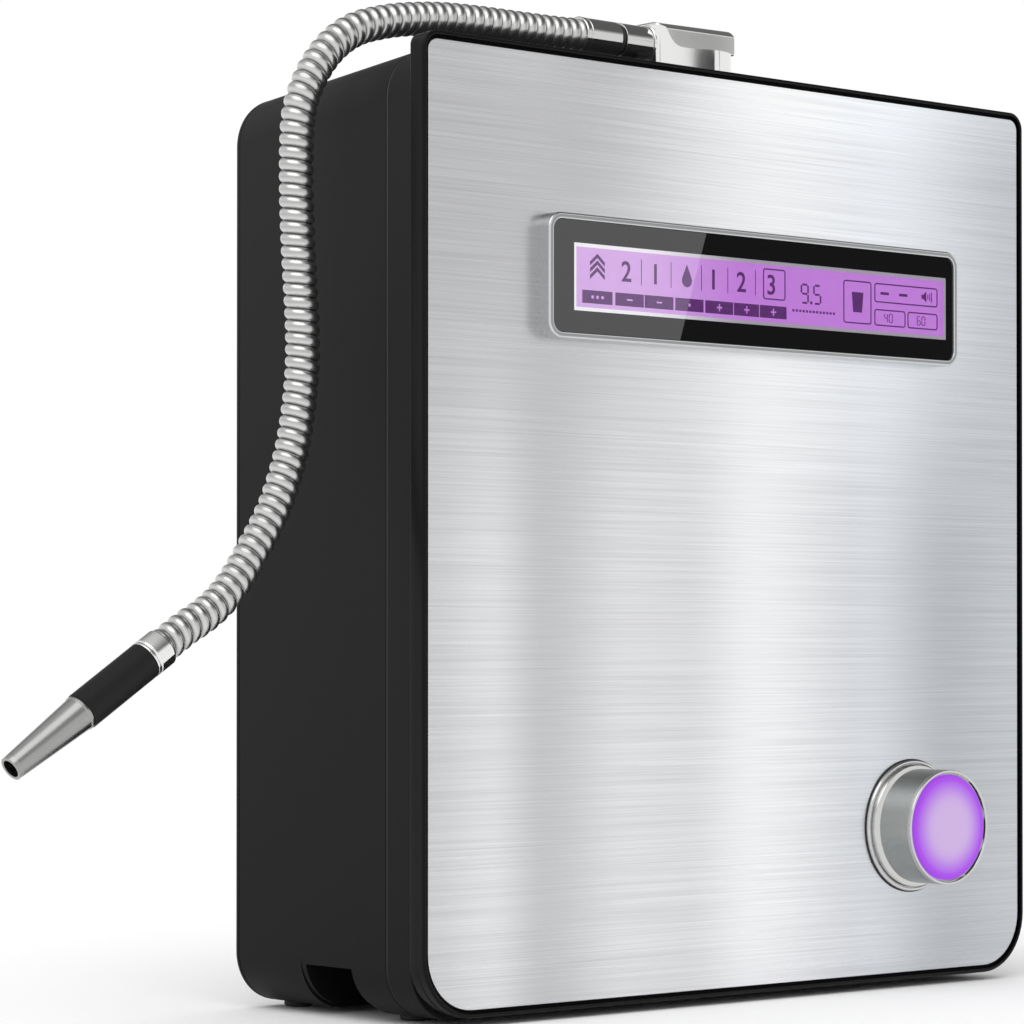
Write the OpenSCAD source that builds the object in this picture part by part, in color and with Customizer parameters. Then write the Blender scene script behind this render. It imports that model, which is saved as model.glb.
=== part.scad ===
// Countertop water ionizer: brushed steel front in a black frame, sloped black casing,
// lit display, lit flow knob and a ribbed metal spout on a swivel outlet.
// X runs to the right, Y to the back, Z up, and the feet stand on Z = 0.

/* [Front] */
// Width of the front frame
frame_w = 300; // [290:1:340]
// Height of the front frame
frame_h = 329; // [322:1:360]
// Corner radius at the top of the front frame
frame_top_r = 6.5; // [3:0.5:8]
// Corner radius at the bottom of the front frame
frame_bottom_r = 22; // [14:1:28]
// Thickness of the front frame
frame_t = 3.5; // [3:0.1:5]
// How far the frame stands in front of the steel panel
frame_lip = 0.8; // [0.3:0.1:1.2]
// Width of the rim that shows round the steel panel
frame_rim = 2.2; // [1.5:0.1:2.5]
// Width of the ledge that the steel panel lies on
frame_ledge = 6; // [4:0.5:8]
// Thickness of the steel panel
panel_t = 1.2; // [0.8:0.1:1.5]
// Thickness of the carrier behind the frame
carrier_t = 4.8; // [4:0.1:6]
// How far the carrier lies inside the frame at the sides and bottom
carrier_inset = 0.7; // [0.3:0.1:1.5]
// How far the top of the carrier lies below the top of the frame
carrier_drop = 0.7; // [0.3:0.1:3]

/* [Casing] */
// Depth from the steel panel to the rear face
body_d = 105; // [103:1:130]
// Depth of the front casing
front_casing_d = 13.2; // [10:0.1:15]
// How far the casing lies inside the frame at the sides
casing_inset = 1.5; // [0.8:0.1:3]
// How far the casing lies below the top of the frame at the front
casing_drop = 2; // [1.5:0.1:6]
// Fall of the casing top from front to rear
casing_fall = 9; // [2:0.5:10]
// Corner radius of the casing
casing_r = 18; // [12:0.5:22]
// Wall of the casing
wall = 2.5; // [2:0.1:3]
// Width of the shadow groove between front and rear casing
groove_w = 0.8; // [0.5:0.1:1.5]
// Depth of that groove
groove_d = 0.6; // [0.3:0.1:1.2]
// Thickness of the rear cover
cover_t = 2.7; // [2.2:0.1:4]
// Radius of the screw bosses
boss_r = 5; // [4:0.25:6]
// Length of the casing screws
screw_len = 12; // [8:1:16]
// Radius of the casing screws
screw_r = 1.6; // [1.2:0.1:2]

/* [Base] */
// Height of the feet
foot_h = 3; // [2:0.5:5]
// Radius of the feet
foot_r = 5; // [4:0.5:11]
// Distance of the feet from the middle
foot_x = 127; // [110:1:127]
// Distance of the front feet behind the steel panel
foot_front = 31.5; // [24:0.5:31.5]
// Distance of the rear feet behind the steel panel
foot_rear = 96; // [80:1:97]
// Width of the hose channel across the base
channel_w = 25; // [18:1:26]
// Height of the hose channel
channel_h = 15; // [12:1:20]
// Distance of the channel's middle behind the steel panel
channel_back = 52; // [51:1:54]
// Width of the hose bay in the middle of the base
bay_w = 120; // [100:1:124]
// Depth of the hose bay
bay_d = 54; // [50:1:56]
// Height of the hose bay
bay_h = 47; // [44:1:48]
// Radius of the inlet and drain tubes that plug in
plug_tube_r = 3.2; // [2.5:0.1:4]
// Half the distance between the two fittings
fitting_x = 25; // [22:1:30]

/* [Display] */
// Width of the display bezel
display_w = 206; // [200:1:212]
// Height of the display bezel
display_h = 43; // [40:1:48]
// Middle of the display to the right of the middle of the front
display_x = 4; // [0:0.5:6]
// Middle of the display above the base of the frame
display_z = 250.5; // [244:0.5:256]
// How far the bezel stands in front of the panel
display_proud = 6; // [5:0.1:7]
// Corner radius of the bezel
display_r = 6; // [5.5:0.5:8]
// Width of the bezel's silver rim
bezel_rim = 2.2; // [1.6:0.1:3]
// Width of the ledge under the display glass
bezel_ledge = 2; // [1.5:0.1:2.5]
// Thickness of the display glass
glass_t = 1.5; // [1:0.1:2]
// How far the glass lies behind the bezel's rim
glass_sink = 0.6; // [0.2:0.1:1]
// Thickness of the display's circuit board
display_board_t = 1.6; // [1:0.1:2]
// Width of the lit window
lcd_w = 189; // [170:1:190]
// Height of the lit window
lcd_h = 22; // [18:1:26]
// Middle of the lit window to the right of the display's middle
lcd_dx = 3; // [0:0.5:3]

/* [Knob] */
// Middle of the knob to the right of the middle of the front
knob_x = 87; // [82:1:92]
// Middle of the knob above the base of the frame
knob_z = 57.2; // [54:0.1:64]
// Radius of the knob
knob_r = 21.2; // [20:0.1:23]
// How far the knob's lens stands in front of the panel
knob_proud = 20; // [18:0.5:24]
// How far the lens bulges past the knob's rim
lens_bulge = 0.8; // [0.4:0.1:1.5]
// Wall of the knob
knob_wall = 1.3; // [1:0.1:2]
// Radius of the flange round the knob
flange_r = 24.4; // [24:0.1:27]
// Height of the flange round the knob
flange_h = 3.4; // [3:0.1:4.5]
// Width of the flange's step
flange_step = 1.4; // [0.8:0.1:2]
// Radius of the valve stem
stem_r = 4; // [3:0.1:5]
// Size of the flow valve across
valve_size = 36; // [30:1:40]
// Depth of the flow valve
valve_d = 28; // [26:1:30]

/* [Outlet] */
// Middle of the outlet to the right of the middle of the front
outlet_x = 12.5; // [10:0.5:18]
// Middle of the outlet behind the steel panel
outlet_back = 40; // [39:1:42]
// Height of the outlet seat above the casing's front top edge
seat_rise = 0; // [0:0.5:3]
// Radius of the outlet's base ring
outlet_ring_r = 17; // [16:0.5:18]
// Height of the outlet's base ring
outlet_ring_h = 4; // [3:0.5:5]
// Radius of the upright part of the elbow
elbow_r = 14.4; // [13:0.1:15]
// Radius of the elbow's drawn-out end below the socket
elbow_end_r = 6; // [5:0.1:6.4]
// Height of the elbow above the base ring
elbow_h = 21.7; // [20:0.1:26]
// Length of the elbow's cap past the outlet's axis
cap_reach = 13; // [12:0.5:16]
// Length of the elbow's cap on the side of the socket
cap_back = 18.5; // [16:0.5:20]
// Depth of the elbow's cap from front to back
cap_d = 20; // [19:0.5:24]
// Height of the elbow's cap
cap_h = 12.5; // [11:0.5:14]
// Radius of the socket that holds the collar
socket_r = 8.4; // [8:0.1:9.5]
// Length of the socket from the outlet's axis
socket_reach = 21.5; // [20:0.5:26]
// Radius of the outlet post
post_r = 9; // [8:0.1:10]
// Radius of the spout's collar
collar_r = 6.5; // [6.2:0.1:7]
// Length of the collar that shows
collar_len = 34; // [28:1:40]
// Radius of the water way
water_r = 4.2; // [3:0.1:4.4]

/* [Spout] */
// Outer diameter of the ribbed hose
hose_d = 11.8; // [10:0.1:12]
// Depth of the hose's ribs
rib_depth = 0.8; // [0.4:0.1:1]
// Distance from rib to rib
rib_pitch = 4.15; // [3.6:0.05:6]
// Radius of the ferrule
ferrule_r = 6.6; // [6.2:0.1:7.5]
// Length of the ferrule
ferrule_len = 8; // [6:0.5:12]
// Radius of the grip sleeve
grip_r = 6.4; // [6:0.1:7.5]
// Length of the grip sleeve
grip_len = 31; // [26:1:40]
// Length of the tapered tip
tip_len = 32; // [26:1:40]
// Radius of the tip at its mouth
tip_r = 4.1; // [3.8:0.1:5]
// Radius of the mouth's bore
mouth_r = 3.1; // [2.5:0.1:3.5]

/* [Rear] */
// Width of the filter door
door_w = 156; // [150:1:160]
// Height of the filter door
door_h = 240; // [232:1:244]
// Thickness of the filter door
door_t = 5; // [4:0.5:6]
// Middle of the filter door to the right of the middle
door_x = -27; // [-30:1:-25]
// Height of the filter door's lower edge above the base
door_low = 67; // [64:1:70]
// Overlap of the filter door on the rear cover
door_lap = 8; // [7:0.5:10]
// Radius of the wall hanging holes
hang_r = 4; // [3:0.5:5]
// Half the distance between the wall hanging holes
hang_x = 118; // [110:1:122]
// Radius of the power cord's gland
gland_r = 8.5; // [8:0.5:10]
// Radius of the cord that the gland takes
cord_r = 4.2; // [3:0.1:4.5]

/* [Inside] */
// Thickness of the chassis plate
chassis_t = 1.5; // [1:0.1:2]
// Distance of the chassis plate behind the steel panel
chassis_back = 51; // [51:0.5:52]
// Radius of the filter cartridges
filter_r = 22; // [18:0.5:22]
// Height of the filter cartridges
filter_h = 200; // [180:1:204]
// Width of the electrolysis cell
cell_w = 90; // [80:1:94]
// Height of the electrolysis cell
cell_h = 130; // [120:1:140]
// Depth of the electrolysis cell
cell_d = 34; // [30:1:36]
// Number of electrode plates
plate_count = 7; // [3:2:9]
// Outer radius of the inner tubes
tube_r = 4; // [3:0.1:4.5]
// Bore radius of the inner tubes
tube_bore_r = 2.6; // [2:0.1:2.8]
// Height of the board standoffs
standoff_h = 6.5; // [5:0.5:9]

/* [Hidden] */
$fn = 64;

// Clearances: seat gap between still pieces, running gap of turning pieces, air between moving faces
seat_gap = 0.1;
run_gap = 0.05;
air_gap = 0.3;
// Margin by which a cutting shape runs past what it cuts
over = 1;

// Places along the depth, from the knob's front to the filter door's back
panel_y = knob_proud - (knob_proud + body_d + door_t) / 2;
frame_front_y = panel_y - frame_lip;
ledge_y = panel_y + panel_t;
frame_back_y = frame_front_y + frame_t;
carrier_back_y = frame_back_y + carrier_t;
parting_y = carrier_back_y + front_casing_d;
rear_y = panel_y + body_d;
cover_y = rear_y - cover_t;
door_y = rear_y + door_t;
chassis_y = panel_y + chassis_back;
chassis_back_y = chassis_y + chassis_t;

// Heights and widths of the shell
base_z = foot_h;
frame_top_z = base_z + frame_h;
casing_w = frame_w - 2 * casing_inset;
casing_top_z = frame_top_z - casing_drop;
casing_slope = atan(casing_fall / (rear_y - carrier_back_y));
inner_x = casing_w / 2 - wall;

// Screw bosses along the side walls
boss_x = inner_x - boss_r + over;
boss_heights = [27, 147, 287];
boss_zs = [for (h = boss_heights) base_z + h];
pilot_r = screw_r + seat_gap;
screw_head_r = 2 * screw_r;
screw_head_t = screw_r;

// Hose bay and channel in the base
channel_y = panel_y + channel_back;
bay_front_gap = 3;
bay_y0 = parting_y + wall + bay_front_gap;
bay_y1 = bay_y0 + bay_d;
bay_top_z = base_z + bay_h;
fitting_back = 36;
fitting_y = panel_y + fitting_back;
fitting_wall = 4.8;
fitting_r = plug_tube_r + fitting_wall;
fitting_drop = 20;
shank_rise = 11;
fitting_top_z = bay_top_z + wall + shank_rise;
shank_wall = 2.8;
shank_r = plug_tube_r + shank_wall;

// Display stack, from its front to the panel
bezel_y = panel_y - display_proud;
glass_y = bezel_y + glass_sink;
lcd_y = glass_y + glass_t;
board_y = panel_y - display_board_t;
window_inset = bezel_rim + bezel_ledge;
cable_slot_w = 68;
cable_slot_h = 14;
cable_slot_r = 3;
display_mid_z = base_z + display_z;

// Knob places
knob_mid_z = base_z + knob_z;
knob_back_y = panel_y - flange_h - air_gap;
knob_rim_y = panel_y - knob_proud + lens_bulge;
lens_r = knob_r - knob_wall - seat_gap;
lens_t = 5;
lens_back_y = knob_rim_y + lens_t;
lens_ball_r = (lens_r * lens_r + lens_bulge * lens_bulge) / (2 * lens_bulge);
hub_wall = 3;
hub_r = stem_r + hub_wall;
web_t = 3;
flange_width = 6.4;
flange_bore_r = flange_r - flange_width;
stem_reach = 17;
stem_back_y = carrier_back_y + stem_reach;
stem_hole_r = stem_r + 2;
valve_screw_inset = 5;

// Outlet places
outlet_y = panel_y + outlet_back;
seat_z = casing_top_z + seat_rise;
seat_depth = 12;
seat_low_z = casing_top_z - seat_depth;
seat_margin = 0.5;
ring_top_z = seat_z + outlet_ring_h;
elbow_z = ring_top_z + air_gap;
elbow_top_z = ring_top_z + elbow_h;
spout_z = elbow_top_z - socket_r;
ring_step = 1.5;
post_rise = 8;
post_top_z = elbow_z + post_rise;
nut_h = 6;
nut_wall = 5;
post_tail = 8;
post_low_z = seat_low_z - nut_h - post_tail;
oring_r = 0.7;
oring_heights = [2.5, 5.5];
oring_zs = [for (h = oring_heights) elbow_z + h];
mouth_depth = 4;
socket_lip = 1.5;
socket_x = outlet_x - socket_reach;
collar_end_x = socket_x - collar_len;
collar_groove = 0.9;
collar_groove_w = 2.4;

// Route of the ribbed hose, as steps to the left and down from the collar's face
HOSE_ROUTE = [[0, 0], [-9, 0], [-29, 0], [-48, -0.5], [-66, -1.5], [-83, -4], [-95, -7], [-104.5, -10],
    [-113.5, -15.5], [-120.5, -22.5], [-126, -31.5], [-129, -41], [-129.5, -51.5], [-129.5, -66], [-129, -81],
    [-128, -97], [-127, -112], [-127, -126], [-128.5, -140], [-131.5, -155], [-136.5, -169.5], [-142, -180],
    [-148, -189], [-154, -197.5], [-160.5, -204.5], [-167, -209.5], [-173, -213.5], [-182, -219.5]];
hose_r = hose_d / 2;
hose_sides = 8;
tip_step = 0.2;
fine_steps = 6;
route_last = len(HOSE_ROUTE) - 1;
hose_exit = HOSE_ROUTE[route_last] - HOSE_ROUTE[route_last - 1];
nozzle_dip = atan2(-hose_exit[1], -hose_exit[0]);
hose_end = [collar_end_x + HOSE_ROUTE[route_last][0], outlet_y, spout_z + HOSE_ROUTE[route_last][1]];

// Inside places
filter_y = (chassis_back_y + cover_y) / 2;
filter_spread = 42;
filter_first_x = door_x - filter_spread;
filter_second_x = door_x + filter_spread;
filter_low = 74;
filter_z = base_z + filter_low;
neck_h = 5;
manifold_z = filter_z + filter_h + neck_h;
manifold_h = 18;
manifold_margin = 5;
inlet_half = 13;
cell_gap = 2;
cell_x = -fitting_x - inlet_half - cell_gap - cell_w;
cell_low = 87;
cell_z = base_z + cell_low;
cell_y = chassis_y - cell_d;
cell_wall = 3;
cell_cover_t = 3;
port_inset = 20;
alkaline_z = cell_z + cell_h - port_inset;
acid_z = cell_z + port_inset;
tube_back = 25;
tube_y = panel_y + tube_back;
valve_side_x = knob_x + valve_size / 2;
riser_gap = 18;
riser_x = valve_side_x + riser_gap;
outlet_tube_drop = 12;
outlet_tube_z = post_low_z - outlet_tube_drop;
raw_x = (filter_first_x + filter_second_x) / 2;
inlet_valve_h = 32;
raw_z = fitting_top_z + inlet_valve_h / 2;
raw_gap = 13;
raw_y = chassis_back_y + raw_gap;
filtered_x = cell_x + cell_w / 2;
filtered_z = manifold_z + manifold_h / 2;
board_gap = 18;
board_x0 = filter_second_x + filter_r + board_gap;
board_edge_gap = 2;
board_x1 = boss_x - boss_r - board_edge_gap;
board_low = 147;
board_low_z = base_z + board_low;
board_h = 127;
board_high_z = board_low_z + board_h;
board_t = 1.6;
supply_low = 62;
supply_h = 75;
supply_gap = 10;

// Rear cover places
hang_h = 300;
hang_z = base_z + hang_h;
gland_x = 105;
gland_h = 40;
gland_z = base_z + gland_h;
gland_nut_h = 5;
gland_neck_r = gland_r - 1.5;
gland_len = 4;
vent_count = 7;
vent_step = 8;
vent_w = 3;
vent_h = 44;
vent_margin = 8;
vent_x = board_x0 + vent_margin;
vent_low = 84;
vent_z = base_z + vent_low;
door_corner_r = 6;
door_wall = 2;

// Span of a given half width round a middle, and span between two steps from a start
function around(mid, half) = [mid - half, mid + half];
function between(start, a, b) = [start + a, start + b];
// Point on a smooth curve through four points, from the second to the third
function curve(a, b, c, d, t) = 0.5 * (2 * b + (c - a) * t + (2 * a - 5 * b + 4 * c - d) * t * t
    + (3 * b - a - 3 * c + d) * t * t * t);
// The hose's route in fine steps
function route_at(i) = HOSE_ROUTE[min(max(i, 0), route_last)];
FINE = concat([for (i = [0 : route_last - 1]) for (k = [0 : fine_steps - 1])
    curve(route_at(i - 1), route_at(i), route_at(i + 1), route_at(i + 2), k / fine_steps)],
    [HOSE_ROUTE[route_last]]);
// Length along the route at each fine step
function lengths(i = 0, sum = 0) = i >= len(FINE) - 1 ? [sum]
    : concat([sum], lengths(i + 1, sum + norm(FINE[i + 1] - FINE[i])));
FINE_LEN = lengths();
hose_len = FINE_LEN[len(FINE) - 1];
FINE_X = [for (i = [0 : len(FINE) - 1]) [FINE_LEN[i], FINE[i][0]]];
FINE_Z = [for (i = [0 : len(FINE) - 1]) [FINE_LEN[i], FINE[i][1]]];
function hose_point(s) = [lookup(s, FINE_X), lookup(s, FINE_Z)];
function hose_heading(s) = let (d = hose_point(min(s + 1, hose_len)) - hose_point(max(s - 1, 0)))
    atan2(d[1], d[0]);
// One ring of the hose, square to its route
function hose_ring(s, r) = let (c = hose_point(s), h = hose_heading(s)) [for (k = [0 : hose_sides - 1])
    let (a = 360 * k / hose_sides)
    [collar_end_x + c[0] - r * sin(a) * sin(h), outlet_y + r * cos(a), spout_z + c[1] + r * sin(a) * cos(h)]];

// Upright plan shapes

module round_bottom(w, h, r) {
    translate([-w / 2, r]) square([w, h - r]);
    translate([-w / 2 + r, 0]) square([w - 2 * r, r + over]);
    for (s = [-1, 1]) translate([s * (w / 2 - r), r]) circle(r);
}

module outline(w, h, r_top, r_bottom) {
    intersection() {
        round_bottom(w, h + r_bottom, r_bottom);
        translate([0, h]) mirror([0, 1]) round_bottom(w, h + r_top, r_top);
    }
}

module panel_outline(w, h, r) {
    translate([0, -h / 2]) outline(w, h, r, r);
}

module along_y(y0, y1) {
    translate([0, y1, 0]) rotate([90, 0, 0]) linear_extrude(y1 - y0) children();
}

module block(x, y, z) {
    translate([x[0], y[0], z[0]]) cube([x[1] - x[0], y[1] - y[0], z[1] - z[0]]);
}

module rod_y(x, z, r, y0, y1) {
    translate([x, y0, z]) rotate([-90, 0, 0]) cylinder(r = r, h = y1 - y0);
}

module rod_z(x, y, r, z0, z1) {
    translate([x, y, z0]) cylinder(r = r, h = z1 - z0);
}

// Rod along X at the spout's height
module rod_x(r, x0, x1) {
    translate([x0, outlet_y, spout_z]) rotate([0, 90, 0]) cylinder(r = r, h = x1 - x0);
}

// Straight runs with round corners through the points
module pipe_run(points, r) {
    for (i = [0 : len(points) - 2]) {
        d = points[i + 1] - points[i];
        translate(points[i]) rotate([0, acos(d[2] / norm(d)), atan2(d[1], d[0])])
            cylinder(r = r, h = norm(d));
    }
    if (len(points) > 2) for (i = [1 : len(points) - 2]) translate(points[i]) sphere(r);
}

module tube(points) {
    first = points[0];
    last = points[len(points) - 1];
    before = first - (points[1] - first) * over / norm(points[1] - first);
    after = last + (last - points[len(points) - 2]) * over / norm(last - points[len(points) - 2]);
    inside = [for (i = [1 : 1 : len(points) - 2]) points[i]];
    color("lightgray") difference() {
        pipe_run(points, tube_r);
        pipe_run(concat([before], inside, [after]), tube_bore_r);
    }
}

// Shell of the casing between two depths, drawn in by an inset, with its top falling to the rear
module casing_solid(y0, y1, inset) {
    w = casing_w - 2 * inset;
    r = casing_r - inset;
    intersection() {
        along_y(y0, y1) translate([0, base_z + inset]) round_bottom(w, casing_top_z, r);
        translate([0, carrier_back_y, casing_top_z]) rotate([-casing_slope, 0, 0]) translate([0, 0, -inset])
            along_y(-2 * body_d, 2 * body_d) mirror([0, 1]) round_bottom(w, 2 * casing_top_z, r);
    }
}

module at_bosses() {
    for (s = [-1, 1]) for (z = boss_zs) translate([s * boss_x, 0, z]) children();
}

// Front

module front_frame() {
    color([0.04, 0.04, 0.045]) difference() {
        along_y(frame_front_y, frame_back_y) translate([0, base_z])
            outline(frame_w, frame_h, frame_top_r, frame_bottom_r);
        along_y(frame_front_y - over, ledge_y) frame_inset(frame_rim);
        along_y(frame_front_y - over, frame_back_y + over) frame_inset(frame_rim + frame_ledge);
    }
}

module frame_inset(d) {
    r_top = max(frame_top_r - d, 1);
    translate([0, base_z + d]) outline(frame_w - 2 * d, frame_h - 2 * d, r_top, frame_bottom_r - d);
}

module front_panel() {
    color([0.72, 0.73, 0.75]) difference() {
        along_y(panel_y, ledge_y) frame_inset(frame_rim + seat_gap);
        along_y(panel_y - over, ledge_y + over) display_cable_slot();
        rod_y(knob_x, knob_mid_z, stem_hole_r, panel_y - over, ledge_y + over);
    }
}

module display_cable_slot() {
    translate([display_x, display_mid_z]) panel_outline(cable_slot_w, cable_slot_h, cable_slot_r);
}

module panel_carrier() {
    color([0.05, 0.05, 0.055]) difference() {
        along_y(frame_back_y, carrier_back_y) translate([0, base_z + carrier_inset])
            outline(frame_w - 2 * carrier_inset, frame_h - carrier_inset - carrier_drop,
                frame_top_r, frame_bottom_r);
        along_y(frame_back_y - over, carrier_back_y + over) display_cable_slot();
        rod_y(knob_x, knob_mid_z, stem_hole_r, frame_back_y - over, carrier_back_y + over);
        at_valve_screws() {
            rod_y(0, 0, pilot_r, frame_back_y - over, carrier_back_y + over);
            rod_y(0, 0, screw_head_r + seat_gap, frame_back_y - over, frame_back_y + screw_head_t);
        }
    }
}

// Casing

module front_casing() {
    color([0.07, 0.07, 0.075]) difference() {
        union() {
            casing_solid(carrier_back_y, parting_y - groove_w, 0);
            casing_solid(parting_y - 2 * groove_w, parting_y, groove_d);
        }
        casing_solid(carrier_back_y - over, parting_y + over, wall);
    }
}

module rear_casing() {
    color([0.07, 0.07, 0.075]) difference() {
        union() {
            difference() {
                casing_solid(parting_y, cover_y, 0);
                casing_solid(parting_y - over, cover_y + over, wall);
            }
            at_bosses() rod_y(0, 0, boss_r, chassis_back_y, cover_y);
            intersection() {
                rod_z(outlet_x, outlet_y, outlet_ring_r + seat_margin, seat_low_z, seat_z);
                block(around(0, casing_w), [parting_y, cover_y], [seat_low_z, seat_z]);
            }
        }
        bay_block(wall);
        channel_block(wall, [-casing_w, casing_w]);
        at_bosses() rod_y(0, 0, pilot_r, cover_y - screw_len, cover_y + over);
        rod_z(outlet_x, outlet_y, post_r + seat_gap, seat_low_z - over, seat_z + over);
    }
}

// Space of the hose bay and of the channel that crosses it, grown by the thickness of their walls
module bay_block(grow) {
    block(around(0, bay_w / 2 + grow), [bay_y0 - grow, bay_y1 + grow], [-over, bay_top_z + grow]);
}

module channel_block(grow, x) {
    block(x, around(channel_y, channel_w / 2 + grow), [-over, base_z + channel_h + grow]);
}

module hose_bay() {
    color([0.06, 0.06, 0.065]) difference() {
        intersection() {
            bay_block(wall);
            casing_solid(parting_y, cover_y, 0);
        }
        bay_block(0);
        channel_block(0, [-casing_w, casing_w]);
        at_fittings() rod_z(0, 0, shank_r + seat_gap, bay_top_z - over, bay_top_z + wall + over);
    }
}

module hose_channel(x) {
    color([0.06, 0.06, 0.065]) difference() {
        intersection() {
            channel_block(wall, x);
            casing_solid(parting_y, cover_y, 0);
        }
        channel_block(0, [x[0] - over, x[1] + over]);
    }
}

module left_channel() {
    hose_channel([-casing_w, -bay_w / 2 - wall]);
}

module right_channel() {
    hose_channel([bay_w / 2 + wall, casing_w]);
}

module at_fittings() {
    for (s = [-1, 1]) translate([s * fitting_x, fitting_y, 0]) children();
}

module rear_cover() {
    color([0.07, 0.07, 0.075]) difference() {
        casing_solid(cover_y, rear_y, 0);
        along_y(cover_y - over, rear_y + over) door_outline(door_lap);
        at_bosses() rod_y(0, 0, pilot_r, cover_y - over, rear_y + over);
        for (s = [-1, 1]) rod_y(s * hang_x, hang_z, hang_r, cover_y - over, rear_y + over);
        rod_y(gland_x, gland_z, gland_neck_r + seat_gap, cover_y - over, rear_y + over);
        at_door_screws() rod_y(0, 0, screw_r + seat_gap, cover_y - over, rear_y + over);
        for (k = [0 : vent_count - 1]) translate([vent_x + k * vent_step, 0, vent_z])
            block([0, vent_w], [cover_y - over, rear_y + over], [0, vent_h]);
    }
}

module door_outline(inset) {
    translate([door_x, base_z + door_low + inset])
        outline(door_w - 2 * inset, door_h - 2 * inset, door_corner_r, door_corner_r);
}

module at_door_screws() {
    mid_z = base_z + door_low + door_h / 2;
    for (s = [-1, 1]) translate([door_x + s * (door_w - door_lap) / 2, 0, mid_z]) children();
}

module cover_screws() {
    color("dimgray") at_bosses() {
        rod_y(0, 0, screw_r, cover_y - screw_len + over, rear_y + over);
        rod_y(0, 0, screw_head_r, rear_y, rear_y + screw_head_t);
    }
}

module filter_door() {
    color([0.09, 0.09, 0.095]) difference() {
        union() {
            along_y(rear_y, door_y) door_outline(0);
            along_y(cover_y, rear_y + over) door_outline(door_lap + seat_gap);
        }
        along_y(cover_y - over, door_y - door_wall) door_outline(door_lap + seat_gap + door_wall);
        at_door_screws() {
            rod_y(0, 0, screw_r + seat_gap, rear_y - over, door_y + over);
            rod_y(0, 0, screw_head_r + seat_gap, door_y - screw_head_t, door_y + over);
        }
    }
}

module door_screws() {
    color("dimgray") at_door_screws() {
        rod_y(0, 0, screw_r, cover_y, door_y - screw_head_t / 2);
        rod_y(0, 0, screw_head_r, door_y - screw_head_t, door_y);
    }
}

module power_gland() {
    color([0.1, 0.1, 0.1]) difference() {
        union() {
            rod_y(gland_x, gland_z, gland_r, rear_y, rear_y + gland_len);
            rod_y(gland_x, gland_z, gland_neck_r, cover_y - gland_nut_h, rear_y + over);
        }
        rod_y(gland_x, gland_z, cord_r, cover_y - gland_nut_h - over, rear_y + gland_len + over);
    }
}

module gland_nut() {
    color([0.1, 0.1, 0.1]) difference() {
        translate([gland_x, cover_y - gland_nut_h, gland_z]) rotate([-90, 0, 0])
            cylinder(r = gland_r + 2, h = gland_nut_h, $fn = 6);
        rod_y(gland_x, gland_z, gland_neck_r + seat_gap, cover_y - gland_nut_h - over, cover_y + over);
    }
}

module feet() {
    color([0.12, 0.12, 0.12]) for (s = [-1, 1]) for (d = [foot_front, foot_rear])
        rod_z(s * foot_x, panel_y + d, foot_r, 0, foot_h);
}

// Display

module display_plate(inset, y0, y1) {
    along_y(y0, y1) translate([display_x, display_mid_z])
        panel_outline(display_w - 2 * inset, display_h - 2 * inset, display_r - inset);
}

module display_bezel() {
    color("silver") difference() {
        display_plate(0, bezel_y, panel_y);
        display_plate(bezel_rim, bezel_y - over, lcd_y);
        display_plate(window_inset, bezel_y - over, panel_y + over);
    }
}

module display_glass() {
    color([0.02, 0.02, 0.025]) display_plate(bezel_rim + seat_gap, glass_y, lcd_y);
}

module lcd_panel() {
    color([0.72, 0.45, 0.92]) along_y(lcd_y, board_y) translate([display_x + lcd_dx, display_mid_z])
        square([lcd_w, lcd_h], center = true);
}

module display_board() {
    color("darkgreen") display_plate(window_inset + seat_gap, board_y, panel_y);
}

// Flow knob and valve

module knob_flange() {
    color("silver") difference() {
        union() {
            rod_y(knob_x, knob_mid_z, flange_r, panel_y - flange_h / 2, panel_y);
            rod_y(knob_x, knob_mid_z, flange_r - flange_step, panel_y - flange_h, panel_y);
        }
        rod_y(knob_x, knob_mid_z, flange_bore_r, panel_y - flange_h - over, panel_y + over);
    }
}

module knob_light_board() {
    color("darkgreen") difference() {
        rod_y(knob_x, knob_mid_z, flange_bore_r - seat_gap, panel_y - display_board_t, panel_y);
        rod_y(knob_x, knob_mid_z, hub_r + 2, panel_y - display_board_t - over, panel_y + over);
    }
}

module knob_body() {
    light_hole_r = 3.2;
    light_ring_r = (hub_r + lens_r) / 2;
    color("silver") difference() {
        rod_y(knob_x, knob_mid_z, knob_r, knob_rim_y, knob_back_y);
        difference() {
            rod_y(knob_x, knob_mid_z, knob_r - knob_wall, knob_rim_y - over, knob_back_y - web_t);
            rod_y(knob_x, knob_mid_z, hub_r, lens_back_y, knob_back_y);
        }
        rod_y(knob_x, knob_mid_z, stem_r + run_gap, lens_back_y + over, knob_back_y + over);
        for (k = [0 : 7]) rotate_about_knob(45 * k)
            rod_y(light_ring_r, 0, light_hole_r, knob_back_y - web_t - over, knob_back_y + over);
    }
}

module rotate_about_knob(a) {
    translate([knob_x, 0, knob_mid_z]) rotate([0, a, 0]) children();
}

module knob_lens() {
    color([0.78, 0.55, 0.95]) translate([knob_x, lens_back_y, knob_mid_z]) rotate([90, 0, 0]) rotate_extrude()
        intersection() {
            translate([0, lens_t + lens_bulge - lens_ball_r]) circle(lens_ball_r, $fn = 720);
            square([lens_r, lens_t + lens_bulge]);
        }
}

module valve_stem() {
    color("gray") rod_y(knob_x, knob_mid_z, stem_r, lens_back_y + over, stem_back_y);
}

module valve_body() {
    half = valve_size / 2;
    color([0.85, 0.85, 0.82]) difference() {
        block(around(knob_x, half), [carrier_back_y, carrier_back_y + valve_d], around(knob_mid_z, half));
        rod_y(knob_x, knob_mid_z, stem_r + run_gap, carrier_back_y - over, stem_back_y + over);
        at_valve_screws() rod_y(0, 0, pilot_r, carrier_back_y - over, carrier_back_y + screw_len);
    }
}

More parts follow.
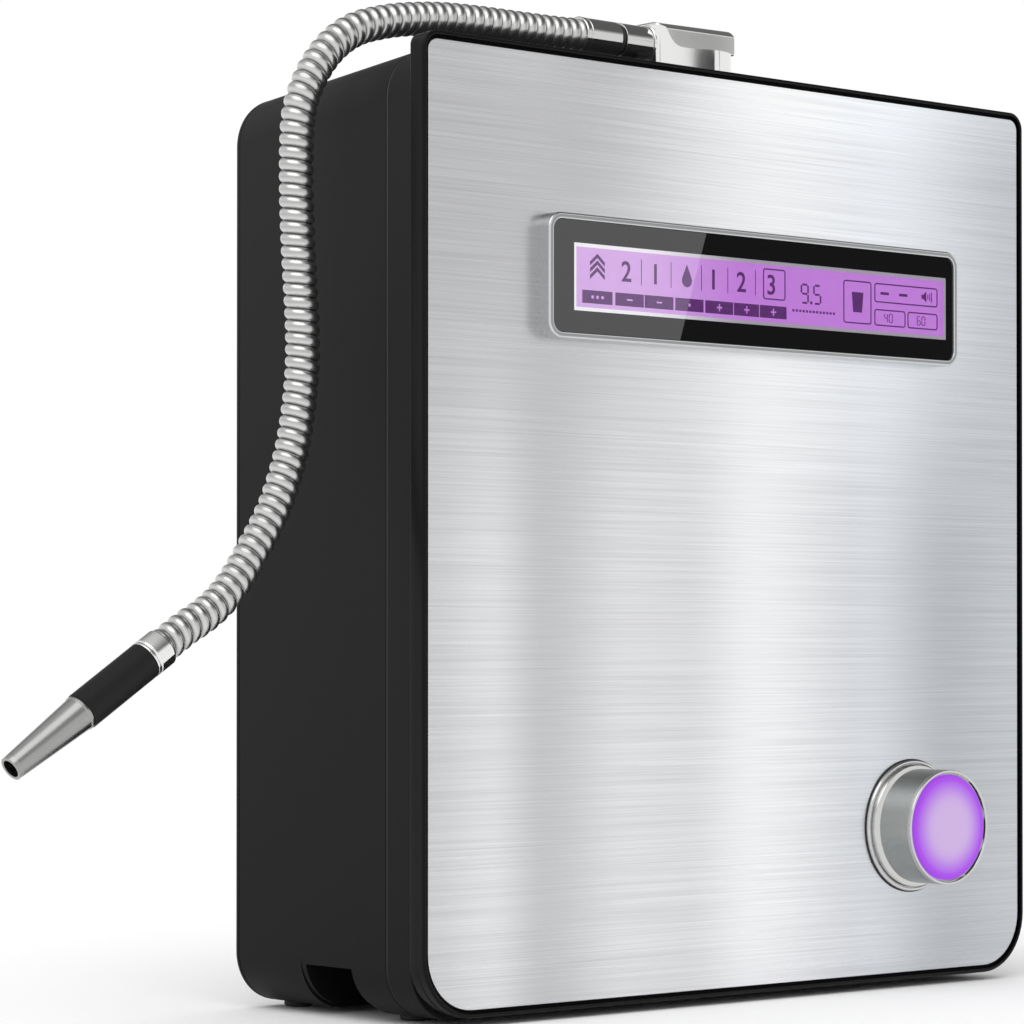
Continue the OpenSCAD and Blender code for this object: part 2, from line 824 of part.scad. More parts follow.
module at_valve_screws() {
    d = valve_size / 2 - valve_screw_inset;
    for (s = [-1, 1]) translate([knob_x + s * d, 0, knob_mid_z + s * d]) children();
}

module valve_screws() {
    color("dimgray") at_valve_screws() {
        rod_y(0, 0, screw_r, frame_back_y, carrier_back_y + screw_len - over);
        rod_y(0, 0, screw_head_r, frame_back_y, frame_back_y + screw_head_t);
    }
}

// Swivel outlet

module outlet_ring() {
    color("silver") difference() {
        union() {
            rod_z(outlet_x, outlet_y, outlet_ring_r, seat_z, seat_z + outlet_ring_h / 2);
            rod_z(outlet_x, outlet_y, outlet_ring_r - ring_step, seat_z, ring_top_z);
        }
        rod_z(outlet_x, outlet_y, post_r + seat_gap, seat_z - over, ring_top_z + over);
    }
}

module outlet_post() {
    color("silver") difference() {
        rod_z(outlet_x, outlet_y, post_r, post_low_z, post_top_z);
        rod_z(outlet_x, outlet_y, water_r, post_low_z - over, post_top_z + over);
        for (z = oring_zs) translate([outlet_x, outlet_y, z]) rotate_extrude()
            translate([post_r - 2 * oring_r, -oring_r]) square([3 * oring_r, 2 * oring_r]);
    }
}

module outlet_orings() {
    color([0.1, 0.1, 0.1]) for (z = oring_zs) translate([outlet_x, outlet_y, z]) rotate_extrude()
        translate([post_r - oring_r, 0]) circle(oring_r);
}

module outlet_nut() {
    color("goldenrod") difference() {
        translate([outlet_x, outlet_y, seat_low_z - nut_h])
            cylinder(r = post_r + nut_wall, h = nut_h, $fn = 6);
        rod_z(outlet_x, outlet_y, post_r + seat_gap, seat_low_z - nut_h - over, seat_low_z + over);
    }
}

// Round upright drawn out to the socket's side
module elbow_outline() {
    reach = outlet_x - socket_x - elbow_end_r - socket_lip;
    a = asin((elbow_r - elbow_end_r) / reach);
    circle(elbow_r);
    translate([-reach, 0]) circle(elbow_end_r);
    polygon([for (s = [-1, 1]) for (c = s < 0 ? [[0, elbow_r], [-reach, elbow_end_r]] :
        [[-reach, elbow_end_r], [0, elbow_r]]) [c[0] - c[1] * sin(a), s * c[1] * cos(a)]]);
}

module outlet_elbow() {
    cap_r = 5;
    cap_edge = 1.5;
    color("silver") difference() {
        union() {
            translate([outlet_x, outlet_y, elbow_z]) linear_extrude(elbow_top_z - cap_h - elbow_z) elbow_outline();
            intersection() {
                translate([outlet_x, outlet_y, elbow_z]) linear_extrude(elbow_top_z - elbow_z - cap_edge)
                    elbow_outline();
                block(around(outlet_x, cap_back + cap_reach), around(outlet_y, cap_d / 2), [elbow_z, elbow_top_z]);
            }
            translate([outlet_x, outlet_y, elbow_top_z - cap_h]) linear_extrude(cap_h)
                translate([(cap_reach - cap_back) / 2, 0]) panel_outline(cap_reach + cap_back, cap_d, cap_r);
            rod_x(socket_r, socket_x, outlet_x);
        }
        rod_z(outlet_x, outlet_y, post_r + run_gap, elbow_z - over, post_top_z + air_gap);
        rod_z(outlet_x, outlet_y, water_r, elbow_z, spout_z);
        rod_x(water_r, socket_x - over, outlet_x);
        rod_x(collar_r + run_gap, socket_x - over, socket_x + mouth_depth);
    }
}

module outlet_collar() {
    groove_x = (collar_end_x + socket_x) / 2;
    color("silver") difference() {
        rod_x(collar_r, collar_end_x, socket_x + mouth_depth);
        difference() {
            rod_x(collar_r + over, groove_x, groove_x + collar_groove_w);
            rod_x(collar_r - collar_groove, groove_x - over, groove_x + collar_groove_w + over);
        }
        rod_x(water_r, collar_end_x - over, socket_x + mouth_depth + over);
    }
}

// Spout

module spout_hose() {
    ribs = round(hose_len / rib_pitch);
    step = hose_len / ribs;
    bore = [for (i = [0 : ribs]) hose_ring(i * step, water_r)];
    skin = [for (i = [0 : 2 * ribs]) hose_ring(i * step / 2, i % 2 == 0 ? hose_r - rib_depth : hose_r)];
    points = [for (ring = concat(skin, bore)) for (p = ring) p];
    skin_count = 2 * ribs + 1;
    n = hose_sides;
    function at(ring, k) = ring * n + k % n;
    skin_faces = [for (i = [0 : skin_count - 2]) for (k = [0 : n - 1]) for (f =
        [[at(i, k), at(i, k + 1), at(i + 1, k + 1)], [at(i, k), at(i + 1, k + 1), at(i + 1, k)]]) f];
    bore_faces = [for (i = [skin_count : skin_count + ribs - 1]) for (k = [0 : n - 1]) for (f =
        [[at(i, k), at(i + 1, k + 1), at(i, k + 1)], [at(i, k), at(i + 1, k), at(i + 1, k + 1)]]) f];
    function cap(a, b) = [for (k = [0 : n - 1]) for (f =
        [[at(a, k), at(b, k + 1), at(a, k + 1)], [at(a, k), at(b, k), at(b, k + 1)]]) f];
    caps = concat(cap(0, skin_count), cap(skin_count + ribs, skin_count - 1));
    color("silver") polyhedron(points, concat(skin_faces, bore_faces, caps));
}

// Places a shape with its own Z along the nozzle, at a distance from the hose's end
module on_nozzle(s) {
    translate(hose_end) rotate([0, -90 - nozzle_dip, 0]) translate([0, 0, s]) children();
}

module hose_ferrule() {
    color("silver") on_nozzle(0) difference() {
        cylinder(r = ferrule_r, h = ferrule_len);
        translate([0, 0, -over]) cylinder(r = water_r, h = ferrule_len + 2 * over);
    }
}

module nozzle_grip() {
    color([0.05, 0.05, 0.05]) on_nozzle(ferrule_len) difference() {
        cylinder(r = grip_r, h = grip_len);
        translate([0, 0, -over]) cylinder(r = water_r, h = grip_len + 2 * over);
    }
}

module nozzle_tip() {
    color("silver") on_nozzle(ferrule_len + grip_len) difference() {
        cylinder(r1 = grip_r - tip_step, r2 = tip_r, h = tip_len);
        translate([0, 0, -over]) cylinder(r = mouth_r, h = tip_len + 2 * over);
    }
}

// Water fittings in the hose bay

module fitting() {
    difference() {
        union() {
            rod_z(0, 0, fitting_r, bay_top_z - fitting_drop, bay_top_z);
            rod_z(0, 0, shank_r, bay_top_z - over, fitting_top_z);
        }
        rod_z(0, 0, plug_tube_r, bay_top_z - fitting_drop - over, bay_top_z);
        rod_z(0, 0, tube_bore_r, bay_top_z - over, fitting_top_z + over);
    }
}

module inlet_fitting() {
    color("white") translate([-fitting_x, fitting_y, 0]) fitting();
}

module drain_fitting() {
    color("gray") translate([fitting_x, fitting_y, 0]) fitting();
}

// Inside

module chassis_plate() {
    low_margin = 4;
    top_margin = 12;
    color("lightsteelblue") difference() {
        block(around(0, boss_x - over), [chassis_y, chassis_back_y],
            [fitting_top_z - low_margin, filtered_z + top_margin]);
        rod_y(raw_x, raw_z, tube_r + over, chassis_y - over, chassis_back_y + over);
        rod_y(filtered_x, filtered_z, tube_r + over, chassis_y - over, chassis_back_y + over);
    }
}

module cartridge(x) {
    color("white") {
        rod_z(x, filter_y, filter_r, filter_z, filter_z + filter_h);
        rod_z(x, filter_y, filter_r / 2, filter_z + filter_h - over, manifold_z);
    }
}

module filter_first() {
    cartridge(filter_first_x);
}

module filter_second() {
    cartridge(filter_second_x);
}

module filter_manifold() {
    reach = filter_r + manifold_margin;
    color([0.2, 0.22, 0.25]) block([filter_first_x - reach, filter_second_x + reach],
        [chassis_back_y, filter_y + filter_r / 2], [manifold_z, manifold_z + manifold_h]);
}

module filter_clips() {
    clip_t = 2;
    clip_h = 12;
    clip_foot = 8;
    clip_z = filter_z + filter_h / 4;
    color([0.2, 0.22, 0.25]) for (x = [filter_first_x, filter_second_x]) difference() {
        union() {
            rod_z(x, filter_y, filter_r + seat_gap + clip_t, clip_z, clip_z + clip_h);
            block(around(x, clip_foot), [chassis_back_y, filter_y], [clip_z, clip_z + clip_h]);
        }
        rod_z(x, filter_y, filter_r + seat_gap, clip_z - over, clip_z + clip_h + over);
        block(around(x, 2 * filter_r), [filter_y + filter_r / 2, rear_y],
            [clip_z - over, clip_z + clip_h + over]);
    }
}

module cell_housing() {
    color([0.3, 0.32, 0.36]) difference() {
        block([cell_x, cell_x + cell_w], [cell_y + cell_cover_t, chassis_y], [cell_z, cell_z + cell_h]);
        block(between(cell_x, cell_wall, cell_w - cell_wall), [cell_y, chassis_y - cell_wall],
            between(cell_z, cell_wall, cell_h - cell_wall));
    }
}

module cell_cover() {
    color([0.3, 0.32, 0.36])
        block([cell_x, cell_x + cell_w], [cell_y, cell_y + cell_cover_t], [cell_z, cell_z + cell_h]);
}

module electrode_plates() {
    plate_t = 1;
    front = cell_y + cell_cover_t;
    step = (chassis_y - cell_wall - front) / plate_count;
    color("gainsboro") for (k = [0 : plate_count - 1])
        block(between(cell_x, cell_wall, cell_w - cell_wall), around(front + (k + 0.5) * step, plate_t / 2),
            between(cell_z, cell_wall, cell_h - cell_wall));
}

module power_supply() {
    color("gainsboro") block([board_x0, board_x1], [chassis_back_y, cover_y - supply_gap],
        between(base_z + supply_low, 0, supply_h));
}

module main_board() {
    color("darkgreen") block([board_x0, board_x1],
        between(chassis_back_y + standoff_h, 0, board_t), [board_low_z, board_high_z]);
}

module board_standoffs() {
    inset = 6;
    standoff_r = 3;
    xs = [board_x0 + inset, board_x1 - inset];
    zs = [board_low_z + inset, board_high_z - inset];
    color("goldenrod") for (x = xs) for (z = zs)
        rod_y(x, z, standoff_r, chassis_back_y, chassis_back_y + standoff_h);
}

module inlet_valve() {
    color([0.85, 0.85, 0.82]) block(around(-fitting_x, inlet_half), [fitting_y - inlet_half, chassis_y],
        [fitting_top_z, fitting_top_z + inlet_valve_h]);
}

module flow_sensor() {
    sensor_rise = 20;
    sensor_h = 22;
    sensor_wall = 6;
    low = cell_z + cell_h + sensor_rise;
    high = low + sensor_h;
    color([0.2, 0.22, 0.25]) difference() {
        rod_z(filtered_x, tube_y, tube_r + sensor_wall, low, high);
        rod_z(filtered_x, tube_y, tube_r, low - over, high + over);
    }
}

module raw_tube() {
    tube([[raw_x, chassis_y, raw_z], [raw_x, raw_y, raw_z], [raw_x, raw_y, manifold_z]]);
}

module filtered_tube() {
    tube([[filtered_x, tube_y, cell_z + cell_h], [filtered_x, tube_y, filtered_z],
        [filtered_x, chassis_back_y, filtered_z]]);
}

module alkaline_tube() {
    top = knob_mid_z + valve_size / 2;
    tube([[cell_x + cell_w, tube_y, alkaline_z], [knob_x, tube_y, alkaline_z], [knob_x, tube_y, top]]);
}

module outlet_tube() {
    tube([[valve_side_x, tube_y, knob_mid_z], [riser_x, tube_y, knob_mid_z], [riser_x, tube_y, outlet_tube_z],
        [outlet_x, tube_y, outlet_tube_z], [outlet_x, outlet_y, outlet_tube_z],
        [outlet_x, outlet_y, post_low_z]]);
}

module acid_tube() {
    tube([[cell_x + cell_w, fitting_y, acid_z], [fitting_x, fitting_y, acid_z],
        [fitting_x, fitting_y, fitting_top_z]]);
}

front_frame();
front_panel();
panel_carrier();
front_casing();
rear_casing();
hose_bay();
left_channel();
right_channel();
rear_cover();
cover_screws();
filter_door();
door_screws();
power_gland();
gland_nut();
feet();
display_bezel();
display_glass();
lcd_panel();
display_board();
knob_flange();
knob_light_board();
knob_body();
knob_lens();
valve_stem();
valve_body();
valve_screws();
outlet_ring();
outlet_post();
outlet_nut();
outlet_orings();
outlet_elbow();
outlet_collar();
spout_hose();
hose_ferrule();
nozzle_grip();
nozzle_tip();
inlet_fitting();
drain_fitting();
chassis_plate();
filter_first();
filter_second();
filter_manifold();
filter_clips();
cell_housing();
cell_cover();
electrode_plates();
power_supply();
main_board();
board_standoffs();
inlet_valve();
flow_sensor();
raw_tube();
filtered_tube();
alkaline_tube();
outlet_tube();
acid_tube();
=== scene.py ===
"""Looks of a countertop water ionizer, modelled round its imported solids."""

import bisect
import math

import bmesh
import bpy
from bpy.props import FloatProperty, FloatVectorProperty, IntProperty, PointerProperty
from mathutils import Matrix, Vector


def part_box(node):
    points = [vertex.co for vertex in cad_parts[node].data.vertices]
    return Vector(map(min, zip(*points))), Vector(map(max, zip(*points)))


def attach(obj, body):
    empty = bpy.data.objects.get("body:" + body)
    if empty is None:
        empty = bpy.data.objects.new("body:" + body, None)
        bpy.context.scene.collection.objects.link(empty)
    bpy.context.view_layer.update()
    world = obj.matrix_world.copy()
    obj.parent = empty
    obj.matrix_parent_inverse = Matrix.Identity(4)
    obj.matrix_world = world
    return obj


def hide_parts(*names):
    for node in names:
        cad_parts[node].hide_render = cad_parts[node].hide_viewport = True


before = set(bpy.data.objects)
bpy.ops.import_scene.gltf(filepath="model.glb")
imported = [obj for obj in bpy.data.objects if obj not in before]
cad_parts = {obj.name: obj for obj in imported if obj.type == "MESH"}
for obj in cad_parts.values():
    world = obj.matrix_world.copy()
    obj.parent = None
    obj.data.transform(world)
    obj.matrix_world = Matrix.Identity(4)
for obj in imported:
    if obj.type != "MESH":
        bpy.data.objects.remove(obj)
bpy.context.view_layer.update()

bl_info = {
    "name": "Water Ionizer Looks",
    "version": (1, 0, 0),
    "blender": (4, 5, 0),
    "location": "View3D > Sidebar > Ionizer",
    "description": "Models and finishes a countertop water ionizer round its packed solids",
    "category": "Object",
}

X_AXIS, Y_AXIS, Z_AXIS = Vector((1, 0, 0)), Vector((0, 1, 0)), Vector((0, 0, 1))
FRONT = -Y_AXIS
# Edges that turn by more than this count as corners
CORNER = math.radians(25)
# Edges that turn by more than this stay sharp in the shading
SHARP = math.radians(40)
# Vertices closer than this are one, and after a cut or a winding those closer than the second
WELD, CUT_WELD = 1e-6, 1e-5


def mm(*values):
    """Millimetres as metres: one number, or a vector."""
    scaled = [v * 0.001 for v in values]
    return scaled[0] if len(scaled) == 1 else Vector(scaled)


# Sizes and colours


def length_of(label, text, default, least=0):
    """Property for a length in millimetres."""
    return FloatProperty(name=label, description=text, default=mm(default), min=mm(least), unit="LENGTH")


def colour_of(label, text, default):
    """Property for a colour."""
    return FloatVectorProperty(name=label, description=text, default=default, min=0, max=1, subtype="COLOR")


class IonizerSizes(bpy.types.PropertyGroup):
    """Sizes that shape the visible pieces"""

    frame_edge: length_of("Frame edge", "Rounding of the black frame's outer edge", 0.9)
    shell_edge: length_of("Shell edge", "Rounding of the casing's edges at its seams", 0.45)
    back_edge: length_of("Back edge", "Rounding of the rear cover's outer edge", 1.6)
    bezel_edge: length_of("Bezel edge", "Rounding of the display bezel's outer edge", 0.7)
    bezel_rim: length_of("Bezel rim", "Width of the bezel's rim round the glass", 2.2)
    knob_edge: length_of("Knob edge", "Rounding of the knob's front rim", 0.3)
    rib_pitch: length_of("Rib pitch", "Distance from rib to rib along the hose", 4.15, 1)
    rib_depth: length_of("Rib depth", "Depth of the groove between two ribs", 1.25)
    hose_sides: IntProperty(name="Hose sides", description="Faces round the hose", default=44, min=12)
    rings_per_rib: IntProperty(
        name="Rings per rib", description="Faces along one rib of the hose", default=10, min=4)


class IonizerColours(bpy.types.PropertyGroup):
    """Colours of the visible finishes"""

    steel: colour_of("Steel", "Brushed steel of the front", (0.938, 0.943, 0.960))
    gloss_black: colour_of("Gloss black", "Frame round the front", (0.003, 0.003, 0.0032))
    matte_black: colour_of("Matte black", "Moulded casing", (0.007, 0.007, 0.0073))
    chrome: colour_of("Chrome", "Plated outlet and hose", (0.84, 0.84, 0.83))
    nickel: colour_of("Nickel", "Satin knob", (0.42, 0.43, 0.41))
    silver: colour_of("Silver", "Painted display bezel", (0.60, 0.61, 0.62))
    window_light: colour_of("Window light", "Lit window where it glows most deeply", (0.515, 0.188, 0.680))
    window_wash: colour_of("Window wash", "Lit window at its pale end", (0.62, 0.36, 0.74))
    mark: colour_of("Mark", "Dark marks in the lit window", (0.055, 0.006, 0.085))
    lens_rim: colour_of("Lens rim", "Knob light at its edge", (0.366, 0.061, 0.768))
    lens_middle: colour_of("Lens middle", "Knob light in its middle", (0.578, 0.429, 0.701))


# Modelling


def corners_of(x0, x1, z0, z1):
    """Corners of an upright rectangle as (x, z)."""
    return (x0, z0), (x1, z0), (x1, z1), (x0, z1)


def round_corners(bm, verts, radius, steps):
    bmesh.ops.bevel(
        bm, geom=verts, offset=radius, offset_type="OFFSET", affect="VERTICES", segments=steps,
        profile=0.5, material=-1)


def rounded_face(low, high, y, radii, steps=12):
    """Upright face between two (x, z) corners at depth y, with its lower and upper corners rounded."""
    bm = bmesh.new()
    corners = [bm.verts.new((x, y, z)) for x, z in corners_of(low[0], high[0], low[1], high[1])]
    bm.faces.new(corners)
    for pair, radius in zip((corners[:2], corners[2:]), radii):
        round_corners(bm, pair, radius, steps)
    return bm


def hollow(bm, width):
    """Leaves a rim of the given width round a bmesh that is one face."""
    middle = bm.faces[:][0]
    bmesh.ops.inset_region(bm, faces=[middle], thickness=width, use_even_offset=True, use_boundary=True)
    bmesh.ops.delete(bm, geom=[middle], context="FACES")


def thicken(bm, shift):
    """Turns the open faces of a bmesh into a solid as deep as shift, and gives the far vertices."""
    made = bmesh.ops.extrude_face_region(bm, geom=bm.faces[:])
    far = [part for part in made["geom"] if isinstance(part, bmesh.types.BMVert)]
    bmesh.ops.translate(bm, verts=far, vec=shift)
    bmesh.ops.recalc_face_normals(bm, faces=bm.faces[:])
    return far


def prism(outline, shift):
    """Solid from a flat outline, as deep as shift."""
    bm = bmesh.new()
    bm.faces.new([bm.verts.new(point) for point in outline])
    thicken(bm, shift)
    return bm


def plate(low, high, radii, inset=0.0, rim=0.0, depth=None, steps=12):
    """Upright plate with round corners that fills a box, drawn in by an inset, or only its rim.

    The radii of its lower and upper corners are in millimetres. A depth replaces the box's own.
    """
    y0, y1 = depth or (low.y, high.y)
    bm = rounded_face((low.x + inset, low.z + inset), (high.x - inset, high.z - inset), y0,
                      [mm(radius) - inset for radius in radii], steps)
    if rim:
        hollow(bm, rim)
    thicken(bm, Y_AXIS * (y1 - y0))
    return bm


def is_corner(edge):
    return len(edge.link_faces) == 2 and edge.calc_face_angle() > CORNER


def looks_away(edge, centre):
    """True where the wall beside an edge looks away from a centre, seen from the front."""
    wall = max(edge.link_faces, key=lambda f: abs(f.normal.x) + abs(f.normal.z))
    middle = (edge.verts[0].co + edge.verts[1].co) / 2
    return wall.normal.dot(middle - Vector((centre.x, middle.y, centre.z))) > 0


def at_depth(y, centre=None, outer=True):
    """Test for corners at one depth: all, or those whose wall looks away from a centre or towards it."""
    def chosen(edge):
        if not is_corner(edge) or any(abs(v.co.y - y) >= mm(0.02) for v in edge.verts):
            return False
        return centre is None or looks_away(edge, centre) == outer
    return chosen


def round_edges(bm, radius, chosen=is_corner, steps=3):
    """Rounds the edges that a test chooses."""
    edges = [edge for edge in bm.edges if chosen(edge)]
    bmesh.ops.bevel(
        bm, geom=edges, offset=radius, offset_type="OFFSET", affect="EDGES", segments=steps,
        profile=0.5, material=-1, clamp_overlap=True)


def placed(bm, point, axis):
    """Moves a shape that stands on the origin along Z to a point and along an axis."""
    turn = Z_AXIS.rotation_difference(axis).to_matrix().to_4x4()
    bmesh.ops.transform(bm, matrix=Matrix.Translation(point) @ turn, verts=bm.verts[:])
    return bm


def turned(profile, origin, axis, edge=0.0, steps=96):
    """Solid of revolution along an axis, with its corners rounded.

    The profile is (radius, height) points in millimetres. It closes unless it starts on the axis.
    """
    bm = bmesh.new()
    verts = [bm.verts.new(mm(radius, 0, height)) for radius, height in profile]
    edges = [bm.edges.new(pair) for pair in zip(verts, verts[1:])]
    if profile[0][0]:
        edges.append(bm.edges.new((verts[-1], verts[0])))
    bmesh.ops.spin(
        bm, geom=verts + edges, cent=(0, 0, 0), axis=Z_AXIS, angle=math.tau, steps=steps, use_merge=True)
    bmesh.ops.remove_doubles(bm, verts=bm.verts[:], dist=WELD)
    bmesh.ops.recalc_face_normals(bm, faces=bm.faces[:])
    if edge:
        round_edges(bm, edge)
    return placed(bm, origin, axis)


def sleeve(inner, outer, low, high):
    """Profile of a plain ring, or of a rod where its inner radius is 0."""
    return [(inner, low), (outer, low), (outer, high), (inner, high)]


def block(low, high):
    """Plain block between two corners."""
    bm = bmesh.new()
    bmesh.ops.create_cube(bm, size=1)
    low, high = Vector(low), Vector(high)
    bmesh.ops.scale(bm, vec=high - low, verts=bm.verts[:])
    bmesh.ops.translate(bm, vec=(low + high) / 2, verts=bm.verts[:])
    return bm


def as_mesh(bm, name):
    """Mesh from a bmesh, which is freed."""
    mesh = bpy.data.meshes.new(name)
    bm.to_mesh(mesh)
    bm.free()
    return mesh


def linked(name, data):
    """New object in the scene."""
    obj = bpy.data.objects.new(name, data)
    bpy.context.scene.collection.objects.link(obj)
    return obj


def merged(parts):
    """One bmesh that holds several, which are freed."""
    whole = bmesh.new()
    for part in parts:
        mesh = as_mesh(part, "part")
        whole.from_mesh(mesh)
        bpy.data.meshes.remove(mesh)
    return whole


def carved(bm, tools):
    """The solid with other solids cut out of it, one after another."""
    body, *blades = (linked("loose", as_mesh(shape, "loose")) for shape in (bm, *tools))
    for blade in blades:
        cut = body.modifiers.new("Cut", "BOOLEAN")
        cut.operation, cut.solver, cut.object = "DIFFERENCE", "EXACT", blade
    bpy.context.view_layer.update()
    result = bmesh.new()
    result.from_object(body, bpy.context.evaluated_depsgraph_get())
    for obj in (body, *blades):
        mesh = obj.data
        bpy.data.objects.remove(obj)
        bpy.data.meshes.remove(mesh)
    return result


def piece(bm, name, body, finish, slot, *replaces, even=True):
    """Finished object from a bmesh, riding on a body and standing for CAD nodes."""
    mesh = as_mesh(bm, name)
    mesh.shade_smooth()
    mesh.set_sharp_from_angle(angle=SHARP)
    mesh.materials.append(MATERIALS[finish])
    obj = linked(name, mesh)
    if even:
        weighted = obj.modifiers.new("Even shading", "WEIGHTED_NORMAL")
        weighted.keep_sharp = True
    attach(obj, body)
    if replaces:
        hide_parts(*replaces)
    return obj


def span(node):
    """Lowest and highest corner of a CAD node and its middle."""
    low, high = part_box(node)
    return low, high, (low + high) / 2


# Finishes

GROUPS = {}
MATERIALS = {}
# Attribute of the hose's points: 0 between two ribs, 1 on a crest
RIB_HEIGHT = "rib_height"
# Shader sockets whose names have capitals of their own
SHORT_NAMES = {"specular": "Specular IOR Level", "ior": "IOR"}


class Nodes:
    """Short calls for the nodes of one tree."""

    def __init__(self, tree):
        self.tree = tree

    def node(self, kind, settings=None, *values, **sockets):
        """New node with attributes from settings; its sockets are linked or set in order, or by name."""
        made = self.tree.nodes.new(kind)
        for name, value in (settings or {}).items():
            setattr(made, name, value)
        for socket, value in zip(made.inputs, values):
            self.feed(socket, value)
        for name, value in sockets.items():
            self.feed(made.inputs[name.replace("_", " ")], value)
        return made

    def feed(self, socket, value):
        if isinstance(value, bpy.types.NodeSocket):
            self.tree.links.new(value, socket)
        else:
            socket.default_value = value

    def math(self, operation, a, b):
        return self.node("ShaderNodeMath", {"operation": operation}, a, b).outputs[0]

    def vector(self, operation, *values):
        return self.node("ShaderNodeVectorMath", {"operation": operation}, *values).outputs

    def noise(self, vector, scale=5.0, detail=2.0):
        return self.node("ShaderNodeTexNoise", Vector=vector, Scale=scale, Detail=detail).outputs["Fac"]

    def between(self, value, low, high, to_low=0.0, to_high=1.0, smooth=False):
        """A value moved from one range to another."""
        kind = {"interpolation_type": "SMOOTHSTEP" if smooth else "LINEAR"}
        return self.node("ShaderNodeMapRange", kind, Value=value, From_Min=low, From_Max=high,
                         To_Min=to_low, To_Max=to_high).outputs["Result"]

    def either(self, factor, first, second):
        """A shader between two."""
        return self.node("ShaderNodeMixShader", None, factor, first, second).outputs[0]


class Finish(Nodes):
    """A material and short calls for its nodes."""

    def __init__(self, name, **constants):
        self.material = bpy.data.materials.new(name)
        self.material.use_nodes = True
        super().__init__(self.material.node_tree)
        self.shader = self.tree.nodes["Principled BSDF"]
        self.place = self.node("ShaderNodeTexCoord").outputs["Object"]
        self.set(**constants)

    def set(self, **sockets):
        """Feeds the shader, and gives the material."""
        for name, value in sockets.items():
            label = SHORT_NAMES.get(name, name.replace("_", " ").title())
            self.feed(self.shader.inputs[label], value)
        return self.material

    def show(self, shader):
        """Puts another shader in the principled one's place."""
        self.feed(self.tree.nodes["Material Output"].inputs["Surface"], shader)

    def group(self, name, **sockets):
        return self.node("ShaderNodeGroup", {"node_tree": GROUPS[name]}, **sockets).outputs

    def mapped(self, scale):
        """Object coordinates, scaled."""
        return self.node("ShaderNodeMapping", Vector=self.place, Scale=scale).outputs["Vector"]

    def axis(self, name):
        """One object coordinate."""
        return self.node("ShaderNodeSeparateXYZ", Vector=self.place).outputs[name]

    def grey(self, level):
        return self.node("ShaderNodeCombineColor", Red=level, Green=level, Blue=level).outputs["Color"]

    def ramp(self, fac, stops, interpolation="EASE"):
        """Colour or grey level from (position, colour) stops."""
        made = self.node("ShaderNodeValToRGB", Fac=fac)
        made.color_ramp.interpolation = interpolation
        points = made.color_ramp.elements
        while len(points) < len(stops):
            points.new(1)
        for point, (position, colour) in zip(points, stops):
            point.position = position
            point.color = (*colour, 1) if hasattr(colour, "__len__") else (colour, colour, colour, 1)
        return made.outputs["Color"]

    def mix(self, a, b, factor, blend="MIX"):
        made = self.node("ShaderNodeMix", {"data_type": "RGBA", "blend_type": blend}, factor)
        for socket, value in ((made.inputs[6], a), (made.inputs[7], b)):
            self.feed(socket, value if isinstance(value, bpy.types.NodeSocket) else (*value, 1))
        return made.outputs[2]

    def times(self, a, b):
        return self.mix(a, b, 1.0, "MULTIPLY")

    def bump(self, height, distance, strength):
        """Height of the surface in millimetres."""
        made = self.node("ShaderNodeBump", Height=height, Distance=mm(distance), Strength=strength)
        self.set(normal=made.outputs["Normal"])


def open_group(name, inputs, outputs):
    """Empty shader node group with float inputs and outputs, a vector first."""
    tree = bpy.data.node_groups.new(name, "ShaderNodeTree")
    tree.interface.new_socket("Vector", in_out="INPUT", socket_type="NodeSocketVector")
    for label, value in inputs.items():
        tree.interface.new_socket(label, in_out="INPUT", socket_type="NodeSocketFloat").default_value = value
    for label in outputs:
        tree.interface.new_socket(label, in_out="OUTPUT", socket_type="NodeSocketFloat")
    nodes = Nodes(tree)
    return nodes, nodes.node("NodeGroupInput").outputs, nodes.node("NodeGroupOutput").inputs


def moulded_grain():
    """Fine texture of moulded plastic and rubber: its roughness, height and tone."""
    group, given, made = open_group(
        "Moulded grain", {"Grain": 1800.0, "Smooth": 0.4, "Rough": 0.6}, ("Roughness", "Height", "Tone"))
    fine = group.noise(given["Vector"], given["Grain"])
    broad = group.noise(given["Vector"], 9.0, 3.0)
    spread = group.math("SUBTRACT", given["Rough"], given["Smooth"])
    rough = group.math("MULTIPLY", spread, group.math("ADD", fine, broad))
    group.feed(made["Roughness"], group.math("ADD", given["Smooth"], group.math("MULTIPLY", rough, 0.5)))
    group.feed(made["Height"], fine)
    group.feed(made["Tone"], group.math("ADD", 0.75, group.math("MULTIPLY", broad, 0.5)))
    return group.tree


def brushed_lines():
    """Long fine scratches along one direction: their pattern from 0 to 1, and a coarser one."""
    group, given, made = open_group("Brushed lines", {"Fine": 1.0, "Coarse": 0.35}, ("Lines", "Bands"))
    group.feed(made["Lines"], group.noise(given["Vector"], given["Fine"], 4.0))
    group.feed(made["Bands"], group.noise(given["Vector"], given["Coarse"]))
    return group.tree


def handling():
    """Faint wiped patches that vary a polished surface's roughness."""
    group, given, made = open_group(
        "Handling", {"Size": 30.0, "Clean": 0.05, "Wiped": 0.12}, ("Roughness",))
    patch = group.noise(given["Vector"], given["Size"], 3.0)
    spread = group.math("SUBTRACT", given["Wiped"], given["Clean"])
    group.feed(made["Roughness"], group.math("ADD", given["Clean"], group.math("MULTIPLY", patch, spread)))
    return group.tree


def shade(colour, factor):
    return tuple(min(1, channel * factor) for channel in colour)


